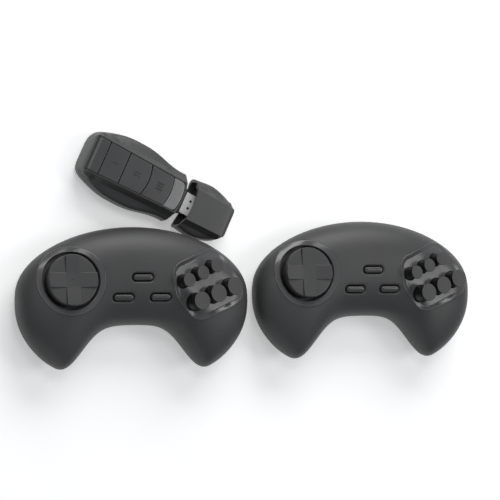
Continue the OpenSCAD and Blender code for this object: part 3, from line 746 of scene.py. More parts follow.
def on_ring(local, radius, lift, count=144):
    spots = circle_outline(radius, count)[0]
    return np.column_stack([spots, skin_over(local, spots[:, 0], spots[:, 1]) + lift])


def level_ring(radius, height, count=144):
    return np.column_stack([circle_outline(radius, count)[0], np.full(count, height)])


def ring_bezel(side):
    place = at(side, DPAD)
    rings = [level_ring(RING_R, RING_BASE)] + [on_ring(DPAD, r, z) for r, z in RING_PROFILE]
    rings += [level_ring(HOLE_R, RING_LIP), level_ring(HOLE_R + 1, RING_LIP), level_ring(HOLE_R + 1, RING_BASE)]
    bezel = make_object(f"{side}_cross_ring", Form().rings(rings, loop=True), place, sharp=50)
    return dress(bezel, f"{side}_pad", [ring_plastic], [f"{side}_dpad_bezel"])


for side in SIDES:
    ring_bezel(side)
print(f"ring {2 * RING_R:.1f} mm across")

# %% [markdown]
# The pad itself is a disc with a cross on it, in one piece. The cross stands up from the disc with
# rounded edges, its four ends reach the disc's rim, and its middle dips a little for the thumb. The disc
# is turned. The cross is the area within a plus-shaped outline, which is rounded by moving that outline
# inwards as it rises: the same recipe as a button's edge, on another outline.

# %% The disc and its cross
DISC_R, ARM, RELIEF, DISC_TOP, DISC_T = 15.5, 9.0, 1.2, 2.0, 4.0
FLANGE_R, FLANGE_T, FLANGE_SLACK, TILT = 17.85, 0.8, 0.15, 5.0
FLANGE_Z = RING_LIP - FLANGE_R * np.sin(np.sqrt(2) * np.radians(TILT)) - FLANGE_T - FLANGE_SLACK
SKIRT_R, SKIRT_W, DISH, DIMPLE_R, DIMPLE = DISC_R - 0.5, 1.0, 0.9, 0.5, 0.3
FOOT_AT, FOOT_R, FOOT_END, HUB_R, HUB_END = 9.5, 1.8, -4.2, 5.0, -10.3


def cross_outline(radius, arm, fillet, steps=9, arc_steps=17):
    """A cross within a circle, with rounded inner corners: points and outward directions."""
    spots, ways = [], []
    half = arm / 2
    corner = half + fillet
    for quarter in range(4):
        matrix = turn("Z", 90 * quarter)[:2, :2]
        reach = np.arcsin(half / radius)
        part, way = [], []
        for a in np.linspace(-reach, reach, arc_steps):
            part.append((radius * np.cos(a), radius * np.sin(a)))
            way.append((np.cos(a), np.sin(a)))
        way[0] = (way[0][0], way[0][1] - 1.0)
        way[-1] = (way[-1][0], way[-1][1] + 1.0)
        end = radius * np.cos(reach)
        for x in np.linspace(end, corner, 12)[1:-1]:
            part.append((x, half))
            way.append((0.0, 1.0))
        for a in np.linspace(270, 180, steps):
            c, s = np.cos(np.radians(a)), np.sin(np.radians(a))
            part.append((corner + fillet * c, corner + fillet * s))
            way.append((-c, -s))
        for y in np.linspace(corner, end, 12)[1:-1]:
            part.append((half, y))
            way.append((1.0, 0.0))
        spots += list(np.array(part) @ matrix.T)
        ways += list(np.array(way) @ matrix.T)
    return np.array(spots), np.array(ways)


def dished(rings):
    """Lowers the cross towards its middle, in four slopes that end at a level square."""
    for ring in rings:
        reach = np.abs(ring[:, :2]).max(axis=1)
        ring[:, 2] -= DISH * (1 - np.clip((reach - ARM / 2) / (DISC_R - ARM / 2), 0, 1))
    return rings


def direction_pad(side):
    place = at(side, DPAD)
    top, under = DISC_TOP, DISC_TOP - DISC_T / 2
    profile = [(SKIRT_R - SKIRT_W, FLANGE_Z), (FLANGE_R, FLANGE_Z), (FLANGE_R, FLANGE_Z + FLANGE_T),
               (SKIRT_R, FLANGE_Z + FLANGE_T), (SKIRT_R, DISC_TOP - DISC_T), (DISC_R, DISC_TOP - DISC_T)]
    profile += round_over(DISC_R, top, 0.45)
    profile += [(DISC_R * share, top) for share in (0.9, 0.7, 0.5, 0.3, 0.12)]
    profile += [(DISC_R * 0.12, under), (SKIRT_R - SKIRT_W, under)]
    disc = Form().rings([level_ring(r, z) for r, z in profile], loop=True)
    outline = cross_outline(DISC_R - 0.12, ARM, 0.5)
    edges = [(0.0, top - 1.0), (0.0, top + 0.1)] + round_over(0.0, top + RELIEF, 0.32)
    rings = sweep(outline, edges)
    spots = rings[-1][:, :2]
    for share in np.linspace(0.96, 0.08, 23):
        rings.append(np.column_stack([spots * share, np.full(len(spots), top + RELIEF)]))
    dished(rings[2:])
    level = rings[-1][0, 2]
    lengths = np.linalg.norm(spots, axis=1)[:, None]
    for radius, drop in ((DIMPLE_R, 0.0), (0.8 * DIMPLE_R, 0.6 * DIMPLE), (0.4 * DIMPLE_R, DIMPLE)):
        rings.append(np.column_stack([radius * spots / lengths, np.full(len(spots), level - drop)]))
    centre = (0, 0, level - DIMPLE)
    disc.rings(rings, end=centre)
    pad = make_object(f"{side}_cross_pad", disc, place, sharp=42)
    for angle in np.radians([0, 90, 180, 270]):
        x, y = FOOT_AT * np.cos(angle), FOOT_AT * np.sin(angle)
        cut(pad, make_object("foot", post(x, y, FOOT_R, FOOT_END, under + 0.2), place), operation="UNION")
    hub = post(0, 0, HUB_R, HUB_END, under + 0.2)
    cut(pad, make_object("hub", hub, place), operation="UNION")
    return dress(pad, f"{side}_dpad_body", [cross_plastic], [f"{side}_dpad"])


for side in SIDES:
    pad = direction_pad(side)
print(f"direction pad {2 * DISC_R:.1f} mm across, {len(pad.data.polygons)} faces")

# %% [markdown]
# ## The button panel
# The six action buttons stand in a shallow pan of glossy plastic, whose outline is five arcs and the sides
# between them. Its rim has a low crest along the skin like the ring's, and slopes from there to the floor. The
# floor is flat and tilted, and bends down where the skin comes near it. Six holes let the buttons through.

# %% The pan
RIM_PROFILE = [(0.0, -0.2), (0.0, 0.0), (-0.1, 0.13), (-0.28, 0.2), (-0.48, 0.19), (-0.7, 0.1)]
RIM_FOOT = -3.0
BUTTON_GAP, STEP, BEND, CREST = 0.25, 0.8, 4.0, 6


def button_pan(side):
    place = at(side, ACTION)
    spots, ways = panel_outline(arc_points=28, side_points=24)

    def along_skin(margin, lift):
        flat = spots + margin * ways
        return np.column_stack([flat, skin_over(ACTION, flat[:, 0], flat[:, 1]) + lift])

    def level(margin, height):
        return np.column_stack([spots + margin * ways, np.full(len(spots), height)])

    def floor(flat):
        """The floor's points over the given places: flat, but bent down where the skin comes near it."""
        limit = skin_over(ACTION, flat[:, 0], flat[:, 1]) - STEP
        return np.column_stack([flat, PANEL_Z - np.log1p(np.exp((PANEL_Z - limit) * BEND)) / BEND])

    def slope(share):
        """The rim's flank, from its crest down to the floor."""
        return (1 - share) * rings[CREST] + share * floor(spots + RIM_FOOT * ways)

    rings = [level(0.0, 1 - SEAT)] + [along_skin(m, z) for m, z in RIM_PROFILE]
    rings += [slope(share) for share in (0.25, 0.5, 0.75, 0.95)]
    rings += [floor(spots + margin * ways) for margin in (-3.2, -3.6, -4.2, -5.0, -6.0)]
    middle, last = rings[-1][:, :2].mean(axis=0), rings[-1][:, :2]
    rings += [floor(middle + share * (last - middle)) for share in np.linspace(0.92, 0.08, 12)]
    form = Form().rings(rings, end=tuple(floor(middle[None])[0]))
    pan = make_object(f"{side}_button_pan", form, place, sharp=50)
    hollow = sweep((spots, ways), [(-RIM_WALL, PANEL_Z - PANEL_T), (-RIM_WALL, -SEAT - 4)])
    tools = [make_object("hollow", Form().rings(hollow), place)]
    limit = make_object("limit", inner_body(PAD_WALL + 0.5), pads[side])
    cut(tools[0], limit, operation="INTERSECT")
    tools += [make_object("hole", post(x, y, r + BUTTON_GAP, -14, 4, 64), place) for x, y, r in BUTTONS]
    cut(pan, *tools, sharp=50)
    return dress(pan, f"{side}_pad", [bezel_plastic], [f"{side}_action_bezel"])


for side in SIDES:
    pan = button_pan(side)
print(pan.name, len(pan.data.polygons), "faces")

# %% [markdown]
# A button is a tall cylinder with a slight waist: it widens a little at its foot and under its flat,
# rounded top, which is dished for the thumb. Its side is smoother, and its colour is a painted shade: it
# is painted almost black, so it looks shaded while its matt top carries more light. So it has two finishes in one
# mesh.

# %% The action buttons
BUTTON_H, STEM_Z, COLLAR_W, COLLAR_T, FIT, WAIST = 8.0, -7.0, 0.45, 1.1, 0.1, 0.6
BUTTON_TOP = PANEL_Z + BUTTON_H


def action_button(side, number, x, y, radius):
    place = at(side, ACTION).inner((x, y, 0))
    collar = PANEL_Z - PANEL_T - FIT
    profile = [(radius, STEM_Z), (radius, collar - COLLAR_T), (radius + COLLAR_W, collar - COLLAR_T),
               (radius + COLLAR_W, collar), (radius, collar), (radius, PANEL_Z + 0.3)]
    for u in np.linspace(0.06, 1, 16):
        profile.append((radius - WAIST * np.sin(np.pi * u) ** 0.8, PANEL_Z + 0.3 + u * (BUTTON_H - 0.75)))
    sides = len(profile)
    profile += round_over(radius, BUTTON_TOP, 0.3, 5)
    profile += [(radius - 0.6, BUTTON_TOP - 0.01)]
    for share in (0.8, 0.65, 0.5, 0.35, 0.2, 0.08):
        profile.append((radius * share, BUTTON_TOP - 0.22 * (1 - (share / 0.86) ** 2)))
    # Rings up the side take the painted-shade finish (1); the top keeps the button's plastic (0).
    finishes = [1 if k < sides + 2 else 0 for k in range(len(profile))]
    rings = [level_ring(r, z, 72) for r, z in profile]
    form = Form().rings(rings, end=(0, 0, BUTTON_TOP - 0.22), finish=finishes)
    button = make_object(f"{side}_button_{number}_cap", form, place, sharp=45)
    return dress(button, f"{side}_button_{number}_body", [button_top, button_shaded_side],
                 [f"{side}_button_{number}"])


for side in SIDES:
    for number, (x, y, radius) in enumerate(BUTTONS, 1):
        action_button(side, number, x, y, radius)
print("buttons stand", BUTTON_H, "mm above the pan")

# %% [markdown]
# ## The menu buttons
# Three small pill-shaped buttons lie in soft-edged slots around the middle. Each has a crowned top, so a thin
# line of light runs along its far edge. They are swept like the action buttons, from a pill outline.

# %% Menu buttons
MENU_STEM, SWITCH_TOP, MENU_TRAVEL, MENU_CROWN = 2.4, 1.9, 0.8, 0.18


def menu_button(side, number):
    local = MENU[number]
    place = at(side, local)
    outline = slot_outline(MENU_L, MENU_W)
    rings = sweep(outline, [(0.0, -4.0)] + round_over(0.0, MENU_PROUD - MENU_CROWN, 0.85, 9))
    x, y = rings[-1][:, 0], rings[-1][:, 1]
    for share in (0.8, 0.55, 0.3, 0.1):
        height = np.full(len(x), MENU_PROUD - MENU_CROWN * share**2)
        rings.append(np.column_stack([x * (0.75 + 0.25 * share), y * share, height]))
    form = Form().rings(rings)
    floor = local.origin[2] - SWITCH_TOP - MENU_TRAVEL - FIT
    stem = sweep(slot_outline(MENU_L / 2, MENU_STEM), [(0, -floor), (0, -2.0)])
    button = make_object(f"{side}_menu_{number + 1}_cap", form, place, sharp=45)
    cut(button, make_object("stem", Form().rings(stem), place), operation="UNION", sharp=45)
    return dress(button, f"{side}_menu_{number + 1}_body", [menu_plastic],
                 [f"{side}_menu_button_{number + 1}"])


for side in SIDES:
    for number in range(3):
        menu_button(side, number)
print("menu buttons", MENU_L, "by", MENU_W, "mm")

# %% [markdown]
# ## Below the controller
# The battery door lies flush in the foot and slides back on two runners. Ridges across it give the thumb
# a hold. Its tail follows the rise of the underside, so it is cut from the lower half of the body too.

# %% The battery door
RIDGES, RIDGE_AT, RIDGE_PITCH, RIDGE_L, RIDGE_W, RIDGE_D = 7, 3.0, 1.9, 7.0, 0.9, 0.35


def battery_door(side):
    place = pads[side]
    door = make_object(f"{side}_door", door_block(0, DOOR_TAIL, -FOOT_Z, -FOOT_Z + DOOR_T), place)
    cut(door, make_object("runners", door_runners(0, DOOR_TAIL, 0), place), operation="UNION")
    cut(door, make_object("skin", half_body(False), place), operation="INTERSECT")
    grooves = []
    for k in range(RIDGES):
        y = DOOR_Y + DOOR_W / 2 - RIDGE_AT - RIDGE_PITCH * k
        flare = [(0.25, -FOOT_Z - 0.5), (0.12, -FOOT_Z), (-0.1, -FOOT_Z + RIDGE_D)]
        rings = [ring + (0, y, 0) for ring in sweep(slot_outline(2 * (RIDGE_L - 0.35 * k), RIDGE_W), flare)]
        grooves.append(make_object("groove", Form().rings(rings), place))
    cut(door, *grooves, sharp=30)
    return dress(door, f"{side}_door", [door_plastic], [f"{side}_battery_door"])


for side in SIDES:
    door = battery_door(side)
print(door.name, len(door.data.polygons), "faces")

# %% [markdown]
# ## The console's form
# The console is a stick with hips: widest in its wide half, narrow at the joint, and flared a little at the
# tip. It is drawn like the controller, as sections along its length. Each section has a flat underside, a
# round belly, a shoulder, and a slanted rail on each side of a flat strip. A smooth curve goes through
# the belly's points, while the rail's edges stay crisp.

# %% Sections of the console
low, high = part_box("console_bottom")
CON_TURN = -25.4
CON_L, CON_WAIST, CON_HIP, CON_H, BODY_L = 95.0, 31.6, 9.4, 18.6, 65.5
MID_X, BODY_END, JOINT_R, BELLY_Z, CON_WALL = 14.75, 33.55, 45.0, 7.5, 1.8
STRIP_W, STRIP_TAPER, STRIP_D, ROOF_T, CAP_GAP = 22.2, 2.4, 2.0, 1.8, 8.0
RAIL_W, RAIL_DROP, RAIL_EDGE = 3.6, 3.0, 0.6
console = Place((0, 0, 0), turn("Z", CON_TURN))
capped = console.inner((CAP_GAP, 0, 0))


def con_end(t):
    return (1 - np.abs(t) ** 8) ** (1 / 8 if t < 0 else 1 / 2.8)


def con_half(t):
    x = MID_X + CON_L / 2 * t
    hips = CON_HIP / 2 * np.exp(-np.abs((x + 3.5) / 21) ** 2.8) + 1.6 * np.exp(-(((x - 42) / 9) ** 2))
    return (CON_WAIST / 2 + hips) * con_end(t)


def con_top(t):
    return CON_H * (1 - 0.06 * t * t) * (1 - np.abs(t) ** 36) ** (1 / 5)


def through(points, steps):
    """A smooth curve through the points, with the given steps between each two."""
    p = np.vstack([2 * points[0] - points[1], points, 2 * points[-1] - points[-2]])
    out = []
    for k in range(1, len(p) - 2):
        a, b, c, d = p[k - 1:k + 3]
        for u in np.arange(steps) / steps:
            square, cube = 2 * a - 5 * b + 4 * c - d, 3 * b - a - 3 * c + d
            out.append(0.5 * (2 * b + (c - a) * u + square * u**2 + cube * u**3))
    return np.array(out + [points[-1]])


def strip_half(x):
    """Half width of the key strip, which narrows towards the tip."""
    return STRIP_W / 2 - STRIP_TAPER * (x + BODY_L / 2) / CON_L


def con_half_section(w, h, s, side, top):
    """Half a section, from the underside up to the strip: (y, z) points."""
    k = h / CON_H
    edge = (min(s + RAIL_W, 0.93 * w) - side, h - RAIL_DROP * k - top)
    belly = [(0.62 * w, 0.9 * side), (0.86 * w - side, 1.6 * k + 0.5 * side), (0.97 * w - side, 4.4 * k),
             (w - side, BELLY_Z * k), (0.985 * w - side, 10.6 * k),
             (0.94 * w - side, min(13.6 * k, h - RAIL_DROP * k - top - 0.2)), edge]
    lip = (min(s + RAIL_EDGE, 0.88 * w) - side / 2, h - top)
    return np.vstack([through(np.array(belly), 6), lip])


def con_ring(t, side=0.0, top=0.0):
    x = MID_X + CON_L / 2 * t
    half = con_half_section(con_half(t), con_top(t), strip_half(x), side, top)
    yz = np.vstack([half, half[::-1] * (-1, 1)])
    return np.column_stack([np.full(len(yz), MID_X + CON_L / 2 * t * (1 - side / (CON_L / 2))), yz])


def con_form(side=0.0, top=0.0, count=130):
    angles = np.radians(np.linspace(-86, 85, count))
    return Form().rings([con_ring(t, side, top) for t in np.sin(angles)])


def joint_drum(grow=0.0, count=200):
    """Everything on the body's side of the curved joint, as a tall solid."""
    centre = BODY_END - JOINT_R
    angles = np.linspace(-np.pi / 2.6, np.pi / 2.6, count)
    arc = [(centre + (JOINT_R + grow) * np.cos(a), (JOINT_R + grow) * np.sin(a)) for a in angles]
    outline = np.array(arc + [(-90, arc[-1][1]), (-90, arc[0][1])])
    return Form().rings([np.column_stack([outline, np.full(len(outline), z)]) for z in (-20.0, 40.0)])


print(f"console {CON_L + CAP_GAP:.0f} mm long with its cap drawn off, box of the lower shell {(high - low) / MM}")

# %% [markdown]
# ## The strip along the console
# The strip holds four pieces under one skin: a fixed panel, three keys and a small window. Its cuts run straight
# at the wide end and bow towards the tip further on. Each piece is a grid laid over the strip between two
# cuts, with its rim rounded down, so that a fine dark gap stands between neighbours. One, two or three
# engraved bars tell the keys apart.

# %% Cuts between the strip's pieces
STRIP_CUTS = [-BODY_L / 2 + 1.6, -23.0, -8.9, 6.2, 22.2, BODY_END - 3.2]
STRIP_BOWS = [0, 0, 0, 2.3, 2.3, 2.3]
STRIP_GAP, KEY_TRAVEL, MAT_T, WINDOW_CORNER = 0.5, 0.5, 0.4, 2.6
KEY_DEPTH = STRIP_D - MAT_T - KEY_TRAVEL - 0.05
MARK_L, MARK_W, MARK_D, MARK_PITCH = 4.2, 0.9, 0.25, 1.9


def strip_line(k, y, shift=0.0):
    """Where cut k runs at the sideways place y."""
    bow = STRIP_BOWS[k]
    if not bow:
        return STRIP_CUTS[k] + shift + 0 * y
    radius = ((STRIP_W / 2) ** 2 + bow**2) / (2 * bow)
    return STRIP_CUTS[k] + shift + bow - radius + np.sqrt(np.maximum(radius**2 - y**2, 0))


def top_at(x):
    """Height of the console's flat top at the place x along it."""
    return con_top(np.clip((x - MID_X) / (CON_L / 2), -1, 1))


def strip_piece(name, k, depth, corner=0.0, rim=0.4):
    """A slab between cuts k and k + 1, as deep as given, with a rounded rim."""
    def cross_line(cut, shift):
        """Points along a cut, from one side of the strip to the other."""
        half = strip_half(STRIP_CUTS[cut]) - STRIP_GAP / 2
        y = np.linspace(-half, half, 40)
        return np.column_stack([strip_line(cut, y, shift), y])

    back, front = cross_line(k, STRIP_GAP / 2), cross_line(k + 1, -STRIP_GAP / 2)[::-1]
    side = lambda a, b: np.linspace(a, b, 22)[1:-1]
    spots = np.vstack([back, side(back[-1], front[0]), front, side(front[-1], back[0])])[::-1]
    if corner:
        spots = round_corners(spots, k + 1, corner)
    step = np.roll(spots, -1, axis=0) - np.roll(spots, 1, axis=0)
    ways = np.column_stack([step[:, 1], -step[:, 0]])
    ways /= np.linalg.norm(ways, axis=1)[:, None]
    rings = []
    edge = [(rim * (np.cos(a) - 1), rim * (1 - np.sin(a))) for a in np.linspace(0.2, np.pi / 2, 6)]
    for margin, drop in [(0.0, depth), (0.0, rim)] + edge:
        flat = spots + margin * ways
        rings.append(np.column_stack([flat, top_at(flat[:, 0]) - drop]))
    rim_spots = rings[-1][:, :2]
    middle = rim_spots.mean(axis=0)
    for share in np.linspace(0.94, 0.04, 19):
        flat = middle + share * (rim_spots - middle)
        rings.append(np.column_stack([flat, top_at(flat[:, 0])]))
    tip = (*middle, float(top_at(middle[0])))
    return make_object(name, Form().rings(rings, end=tip), console, sharp=50)


def round_corners(spots, cut, radius):
    """Pulls the outline's points near both ends of a cut onto arcs that touch the cut and the sides."""
    spots, half, bow = spots.copy(), strip_half(STRIP_CUTS[cut]) - STRIP_GAP / 2, STRIP_BOWS[cut]
    large = ((STRIP_W / 2) ** 2 + bow**2) / (2 * bow)
    start = STRIP_CUTS[cut] - STRIP_GAP / 2 + bow - large
    for sign in (-1, 1):
        across = half - radius
        centre = np.array([start + np.sqrt((large - radius) ** 2 - across**2), sign * across])
        offset = (spots - centre) * (1, sign)
        tilt = np.degrees(np.arctan2(offset[:, 1], offset[:, 0]))
        near = (tilt > np.degrees(np.arctan2(across, large - radius))) & (tilt < 92)
        length = np.linalg.norm(offset[near], axis=1)
        spots[near] = centre + offset[near] * (1, sign) * (radius / length)[:, None]
    return spots


def key_marks(k):
    """Cutters for the engraved bars of key k, which has as many bars as its number."""
    middle_x = (STRIP_CUTS[k] + STRIP_CUTS[k + 1] + STRIP_BOWS[k] + STRIP_BOWS[k + 1]) / 2
    sides = [(0.14, 24), (0.14, 18.4), (0, 18.2), (-0.12, float(top_at(middle_x)) - MARK_D)]
    bar = sweep(slot_outline(MARK_L, MARK_W), sides)
    places = [(middle_x, MARK_PITCH * (number - (k - 1) / 2), 0) for number in range(k)]
    return [make_object("mark", Form().rings([ring + spot for ring in bar]), console) for spot in places]


STRIP = [("badge", STRIP_D, "console", "console_key", key_plastic, "badge_panel")]
STRIP += [(f"key_{k}_cap", KEY_DEPTH, f"key_{k}_body", "console_key", key_plastic, f"key_{k}") for k in (1, 2, 3)]
STRIP += [("lamp_window", STRIP_D, "console", "window", window_plastic, "signal_window")]
for k, (name, depth, body, slot, material, node) in enumerate(STRIP):
    piece = strip_piece(name, k, depth, corner=WINDOW_CORNER if material is window_plastic else 0.0)
    if name.startswith("key"):
        cut(piece, *key_marks(k), sharp=50)
    dress(piece, body, [material], [node])
print("strip pieces:", ", ".join(row[0] for row in STRIP))

# %% [markdown]
# ## The console's shells
# Like a controller, the console is an upper and a lower shell, hollow inside. The strip's pieces lie in a
# pocket in the upper one. Both end in the same curved joint, where the cap begins, and a power socket opens
# through the side. All these cuts share the console's one form. The slanted rails beside the strip are glossier
# and darker, so their faces are picked out by place and direction and given a second finish.

# %% Shells of the console
PORT, PORT_AT = (8.0, 7.0, 3.2), (20.0, 5.2)
CON_SCREWS = [(-21, 10), (-21, -10), (12, 10), (12, -10)]
CON_BOSS_R, CON_SCREW_R, CON_HEAD_R, CON_SEAT = 2.4, 0.9, 1.7, 2.2


def port_cut():
    outline = slot_outline(PORT[0] + 0.5, PORT[2] + 0.5)
    form = Form().rings(sweep(outline, [(0, 0), (0, 40)]))
    return make_object("port", form, console.inner((PORT_AT[0], 0, PORT_AT[1] + PORT[2] / 2), turn("X", -90)))


def strip_pocket():
    half = strip_half(STRIP_CUTS[5])
    y = np.linspace(half, -half, 60)
    front = np.column_stack([strip_line(5, y), y])
    x = np.linspace(STRIP_CUTS[0], STRIP_CUTS[5], 60)[:-1]
    sides = np.column_stack([x, strip_half(x)])
    spots = np.vstack([sides, front, sides[::-1] * (1, -1)])[::-1]
    floor, above = top_at(spots[:, 0]) - STRIP_D, np.full(len(spots), 30.0)
    return make_object("pocket", Form().rings([np.column_stack([spots, z]) for z in (floor, above)]), console)


def on_rail(middle, normal):
    """Whether a face lies on one of the slanted bands beside the strip."""
    beside = abs(middle[1]) - strip_half(middle[0])
    outward = normal[1] * middle[1] > 0
    return 0.35 < beside < RAIL_W + 0.1 and middle[2] > BELLY_Z and 0.3 < normal[2] < 0.93 and outward


def console_shell(name, z0, z1, node):
    shell = make_object(name, con_form(), console, sharp=28)
    room = make_object("inner", con_form(CON_WALL, ROOF_T + STRIP_D, 60), console)
    cut(room, make_object("floor", block(-FAR, FAR, -FAR, FAR, -FAR, CON_WALL), console))
    cut(shell, room)
    cut(shell, make_object("drum", joint_drum(), console), operation="INTERSECT")
    cut(shell, make_object("half", block(-FAR, FAR * 2, -FAR, FAR, z0, z1), console), operation="INTERSECT")
    bosses = [make_object("boss", post(x, y, CON_BOSS_R, 1, ROOF_T * 8), console) for x, y in CON_SCREWS]
    for boss in bosses:
        inside = block(-FAR, FAR, -FAR, FAR, z0 + 0.02, z1 - 0.02)
        cut(boss, make_object("half", inside, console), operation="INTERSECT")
        cut(shell, boss, operation="UNION")
    tools = [port_cut()]
    if z0 > 0:
        tools.append(strip_pocket())
    tools += [make_object("bore", post(x, y, CON_SCREW_R + FIT, -1, 12), console) for x, y in CON_SCREWS]
    tools += [make_object("well", post(x, y, CON_HEAD_R + FIT, -1, CON_SEAT), console) for x, y in CON_SCREWS]
    cut(shell, *tools, sharp=15)
    paint(shell, console, 1, on_rail)
    return dress(shell, "console", [console_plastic, rail_plastic], [node])


top = console_shell("console_case_top", BELLY_Z, FAR, "console_top")
bottom = console_shell("console_case_bottom", -FAR, BELLY_Z, "console_bottom")
print(top.name, len(top.data.polygons), "faces,", bottom.name, len(bottom.data.polygons), "faces")

# %% [markdown]
# The cap is the rest of the same form beyond the joint, so it lines up with the console when it is pushed
# on. It is drawn off by a few millimetres and shows the plug. Its rails run to the tip, and the rest of its
# shell is one plastic, as pale as the keys' and smoother than the cases.

# %% The cap
MOULD_X0, MOULD_X1, MOULD_W, MOULD_T, MOULD_Z = BODY_END - 8.0, BODY_END + 3.2, 16.4, 8.0, 4.6
PLUG_W, PLUG_T, PLUG_L, PLUG_Z = 13.9, 4.5, 12.0, 8.6
LINER_WALL, LINER_L, CAP_FLOOR, JOINT_GAP, PLUG_SLIP = 1.2, PLUG_L + 2.5, MOULD_X1 + 0.3, 0.25, 0.25


def liner_block(grow, lead=0.0):
    half_w, half_t = PLUG_W / 2 + LINER_WALL + grow, PLUG_T / 2 + LINER_WALL + grow
    return block(CAP_FLOOR - lead, CAP_FLOOR + LINER_L + grow, -half_w, half_w, PLUG_Z - half_t, PLUG_Z + half_t)


def cap():
    shell = make_object("cap_case", con_form(), capped, sharp=28)
    room = make_object("room", con_form(CON_WALL, CON_WALL, 60), capped)
    keep = make_object("keep", block(-FAR, CAP_FLOOR - FIT, -FAR, FAR, CON_WALL, FAR), capped)
    cut(room, keep, operation="INTERSECT")
    drum = make_object("drum", joint_drum(JOINT_GAP), capped)
    cut(shell, drum, room, make_object("liner", liner_block(FIT, 1.0), capped), sharp=15)
    paint(shell, capped, 1, on_rail)
    return dress(shell, "cap", [cap_plastic, rail_plastic], ["cap_shell"])


shell = cap()
liner = make_object("cap_socket", liner_block(0.0), capped)
half_w, half_t = PLUG_W / 2 + PLUG_SLIP, PLUG_T / 2 + PLUG_SLIP
hole = block(CAP_FLOOR - 1, CAP_FLOOR + LINER_L - LINER_WALL, -half_w, half_w, PLUG_Z - half_t, PLUG_Z + half_t)
cut(liner, make_object("hole", hole, capped))
dress(liner, "cap", [mould_plastic], ["cap_liner"])
print(shell.name, len(shell.data.polygons), "faces")

# %% [markdown]
# ## The video plug
# The plug is a gilded steel shell with a flat top and two cut lower corners, standing in a black rubbery
# mould, with a tongue inside. Two small dents in its top hold it in a socket. The shell is drawn as one
# thin sheet: an outer and an inner outline with a rounded mouth between them. Its broad faces, found by a
# test of their normals, take the pale finish, a painted highlight of glare on the gilt.

# %% Plug, mould and tongue
PLUG_WALL, PLUG_CUT, DENT_R, DENT_GAP, TONGUE_W, TONGUE_T = 0.4, 1.6, 0.75, 4.6, 10.0, 1.2
PLUG_X0 = MOULD_X1 - 4
plug_frame = console.inner((PLUG_X0, 0, PLUG_Z), turn("Y", 90))


def plug_outline(inset, fillet=0.45):
    w, t = PLUG_W / 2 - inset, PLUG_T / 2 - inset
    corners = [(-t, -w), (t - PLUG_CUT, -w), (t, -w + PLUG_CUT), (t, w - PLUG_CUT), (t - PLUG_CUT, w), (-t, w)]
    r = max(fillet - inset, 0.12)
    spots = []
    for k, corner in enumerate(np.array(corners)):
        before, after = np.array(corners[k - 1]) - corner, np.array(corners[(k + 1) % 6]) - corner
        before, after = before / np.linalg.norm(before), after / np.linalg.norm(after)
        reach = r / np.tan(np.arccos(before @ after) / 2)
        a, b = corner + before * reach, corner + after * reach
        for u in np.linspace(0, 1, 7):
            spots.append((1 - u) ** 2 * a + 2 * u * (1 - u) * corner + u**2 * b)
    return np.array(spots)


def plug_ring(inset, z):
    spots = plug_outline(inset)
    return np.column_stack([spots, np.full(len(spots), z)])


PLUG_END = PLUG_L + 4
mouth = [(0.05, -0.25), (0.1, -0.1), (0.2, 0.0), (0.3, -0.02), (PLUG_WALL, -0.12)]
rings = [plug_ring(0.05, 0.0)] + [plug_ring(inset, PLUG_END + z) for inset, z in mouth] + [plug_ring(PLUG_WALL, 1.0)]
plug = make_object("plug_case", Form().rings(rings), plug_frame, sharp=40)
dents = []
for s in (-1, 1):
    flare = [(DENT_R + 0.16, -1.0), (DENT_R + 0.1, 0.0), (DENT_R, 0.12), (DENT_R, 0.7)]
    spot = plug_frame.inner((-PLUG_T / 2, s * DENT_GAP / 2, PLUG_L / 2 + 3), turn("Y", 90))
    dents.append(make_object("dent", Form().rings([level_ring(r, z, 40) for r, z in flare]), spot))
cut(plug, *dents, sharp=40)
# The broad faces take the pale finish, a painted highlight of glare on the gilt.
paint(plug, plug_frame, 1, lambda middle, normal: abs(normal[0]) > 0.95)
dress(plug, "console", [plug_gilt, plug_painted_glare], ["plug_shell"])


def bar(width, depth, corner, arc_points, length, edge):
    """A bar with rounded corners and a rounded far end, along its own Z."""
    x, y = depth / 2 - corner, width / 2 - corner
    outline = hull_outline([(-x, -y, corner), (x, -y, corner), (x, y, corner), (-x, y, corner)], arc_points, 3)
    return Form().rings(sweep(outline, [(0, 0)] + round_over(0.0, length, edge)))


mould_frame = console.inner((MOULD_X0, 0, MOULD_Z + MOULD_T / 2), turn("Y", 90))
mould = make_object("plug_mould", bar(MOULD_W, MOULD_T, 0.9, 9, MOULD_X1 - MOULD_X0, 0.5), mould_frame, sharp=40)
socket = make_object("socket", Form().rings([plug_ring(0.0, 0.0), plug_ring(0.0, 5.0)]), plug_frame)
cut(mould, socket, sharp=40)
dress(mould, "console", [mould_plastic], ["plug_mold"])

tongue_frame = console.inner((MOULD_X1 - 2.9, 0, PLUG_Z), turn("Y", 90))
tongue = make_object("plug_pins", bar(TONGUE_W, TONGUE_T, 0.25, 5, PLUG_L + 1.4, 0.3), tongue_frame, sharp=40)
dress(tongue, "console", [mould_plastic], ["plug_tongue"])
print("plug", PLUG_W, "by", PLUG_T, "mm")

# %% [markdown]
# ## Inside
# Boards, rubber sheets, cells, contacts and screws are hidden until a door slides or a part lifts. Their
# solids already have the right shape, so they keep it and only get a finish.

# %% Finishes of the inner pieces
INNER = {"circuit_boards": board_lacquer, "console_board": board_lacquer, "dpad_membrane": sheet_rubber,
         "action_membrane": sheet_rubber, "key_mat": mat_rubber, "battery_cells": sleeve, "battery_contacts": nickel,
         "case_screws": nickel, "console_screws": nickel, "dpad_pivot": nickel}
for name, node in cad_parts.items():
    for ending, material in INNER.items():
        if name.endswith(ending):
            node.data.materials.clear()
            node.data.materials.append(material)
            smooth(node, 35)
print("inner pieces:", sum(not node.hide_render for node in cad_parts.values()))

